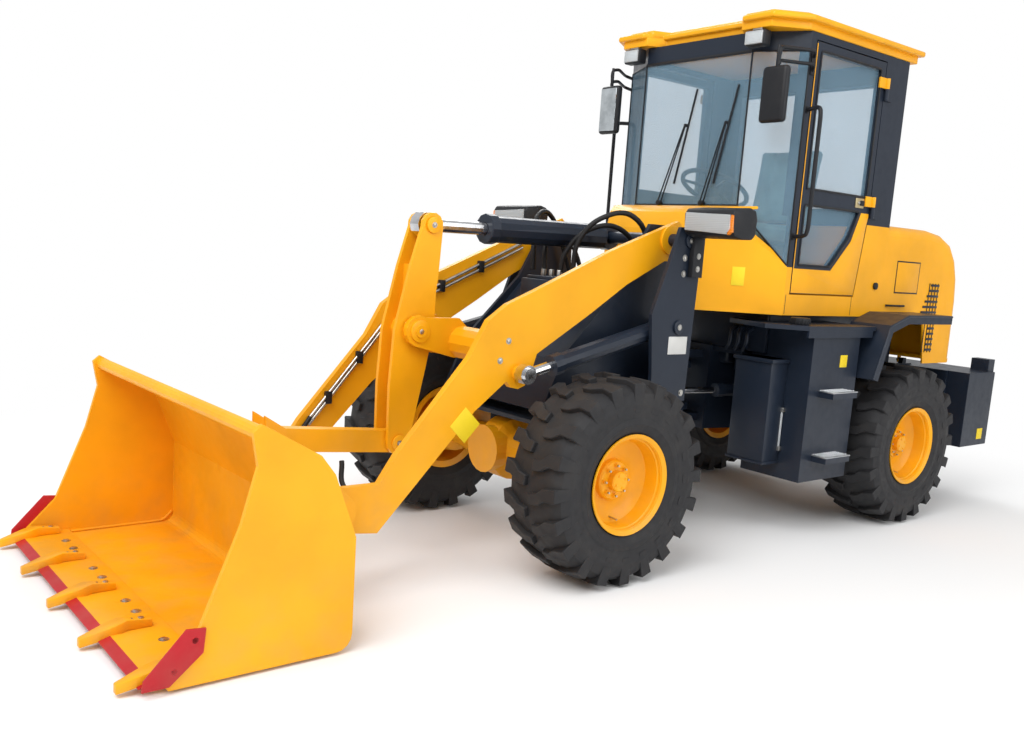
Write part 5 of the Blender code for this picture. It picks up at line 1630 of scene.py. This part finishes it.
@dataclass
class RearEnd:
    """Tail lamps and labels on the counterweight."""

    rear_y: float = 3.560
    half: float = 0.745

    def build(self) -> None:
        """Build the fittings."""
        parts = []
        for s in SIGNS:
            for number, finish in enumerate((Finish.RED, Finish.AMBER)):
                x = across(s, 0.606 + number * 0.056, 0.658 + number * 0.056)
                lens = Bench.block("lens", at(x[0], 3.499, 0.864), at(x[1], 3.508, 0.920), 0.003)
                parts.append(coat(lens, finish))
            x = across(s, self.half, self.half + 0.0018)
            label = Bench.block("label", at(x[0], 3.330, 0.410), at(x[1], 3.400, 0.480), 0.0005)
            parts.append(coat(label, Finish.YELLOW_LABEL))
        drawbar = Bench.bar(
            "drawbar", at(0, self.rear_y - 0.050, 0.450), at(0, self.rear_y - 0.004, 0.450), 0.045
        )
        parts.append(coat(drawbar, Finish.STEEL))
        hang(Bench.join("tail_fittings", parts), "rear_module")


# ---------------------------------------------------------------- studio
@dataclass
class Studio:
    """Pale floor, soft lights and the camera."""

    place: Point = (3.701, -3.005, 1.436)
    azimuth: float = 50.85
    elevation: float = 8.94
    roll: float = 3.88
    focal_px: float = 971.5
    width_px: int = 1024
    shift_px: Pair = (-0.7, 34.3)
    sensor: float = 36.0
    near: float = 2.9
    far: float = 4.6
    target: Point = (0.0, 0.0, 1.0)
    lamps: tuple[tuple[str, Point, float, float], ...] = (
        ("key", (2.5, -6.0, 7.5), 6.0, 620.0),
        ("fill", (7.5, 1.5, 4.5), 6.0, 230.0),
        ("rim", (-6.0, 4.0, 6.0), 5.0, 260.0),
    )

    def build(self) -> None:
        """Build the floor, the lights and the camera."""
        self.floor()
        self.lights()
        self.camera()

    def floor(self) -> None:
        """A wide pale floor that is white to the camera but keeps the shadow."""
        bpy.ops.object.select_all(action="DESELECT")
        bpy.ops.mesh.primitive_plane_add(size=60.0, location=(0, 0, 0))
        plane = bpy.context.object
        plane.name = "studio_floor"
        nodes = Nodes("studio_floor")
        nodes.link(nodes.blend(nodes.noise(0.4), (0.90, 0.90, 0.90), (0.89, 0.89, 0.89)), "Base Color")
        nodes.preset(Roughness=0.95, Specular_IOR_Level=0.0)
        distance = nodes.add("VectorMath", Vector=nodes.coords)
        distance.operation = "LENGTH"
        away = nodes.spread(distance.outputs["Value"], (self.near, self.far), (0.0, 1.0))
        seen = nodes.add("LightPath").outputs["Is Camera Ray"]
        white = nodes.add("Emission", Color=(1.0, 1.0, 1.0, 1.0), Strength=1.0)
        mixed = nodes.add("MixShader", Fac=nodes.product(away, seen))
        surface = nodes.tree.nodes["Material Output"].inputs["Surface"]
        for output, socket in (
            (nodes.shader.outputs[0], mixed.inputs[1]), (white.outputs[0], mixed.inputs[2]),
            (mixed.outputs[0], surface),
        ):
            nodes.tree.links.new(output, socket)
        plane.data.materials.append(nodes.material)

    def lights(self) -> None:
        """One large soft key from above the camera's left, a fill and an even world."""
        for name, place, size, power in self.lamps:
            lamp = bpy.data.lights.new(name, "AREA")
            lamp.energy = power
            lamp.size = size
            lamp.specular_factor = 0.4
            light = bpy.data.objects.new(name, lamp)
            light.location = place
            light.rotation_euler = (Vector(place) - Vector(self.target)).to_track_quat("Z", "Y").to_euler()
            bpy.context.scene.collection.objects.link(light)
        world = bpy.data.worlds.new("studio")
        world.use_nodes = True
        tree = world.node_tree
        background = tree.nodes["Background"]
        background.inputs["Color"].default_value = (1.0, 1.0, 1.0, 1.0)
        path = tree.nodes.new("ShaderNodeLightPath")
        level = tree.nodes.new("ShaderNodeMapRange")
        tree.links.new(path.outputs["Is Camera Ray"], level.inputs["Value"])
        level.inputs["To Min"].default_value = 0.60
        level.inputs["To Max"].default_value = 1.0
        tree.links.new(level.outputs["Result"], background.inputs["Strength"])
        bpy.context.scene.world = world

    def camera(self) -> None:
        """The camera, in front of the machine's left corner and slightly rolled."""
        a, e, r = (math.radians(angle) for angle in (self.azimuth, self.elevation, self.roll))
        back = Vector((math.sin(a) * math.cos(e), -math.cos(a) * math.cos(e), math.sin(e)))
        right = UP.cross(back).normalized()
        up = back.cross(right)
        turned_right = right * math.cos(r) + up * math.sin(r)
        turned_up = up * math.cos(r) - right * math.sin(r)
        data = bpy.data.cameras.new("camera")
        data.sensor_width = self.sensor
        data.lens = self.focal_px * self.sensor / self.width_px
        data.shift_x, data.shift_y = (shift / self.width_px for shift in self.shift_px)
        camera = bpy.data.objects.new("camera", data)
        bpy.context.scene.collection.objects.link(camera)
        turn = Matrix((turned_right, turned_up, back)).transposed().to_4x4()
        camera.matrix_world = Matrix.Translation(at(*self.place)) @ turn
        bpy.context.scene.camera = camera
        bpy.context.scene.view_settings.view_transform = "Standard"


def main() -> None:
    """Build the studio and every sub-assembly in order."""
    logging.basicConfig(level=logging.INFO, format="%(message)s")
    assemblies: list = [Studio(), Chassis()]
    assemblies += [Wheel(axle, side) for axle in ("front", "rear") for side in Side]
    assemblies += [
        BucketFittings(), BoomFittings(), FrontFittings(), Cab(), Seat(), Hood(), SideTanks(), RearEnd()
    ]
    for assembly in assemblies:
        assembly.build()
        LOG.info("%s done", type(assembly).__name__)


if __name__ == "__main__":
    main()
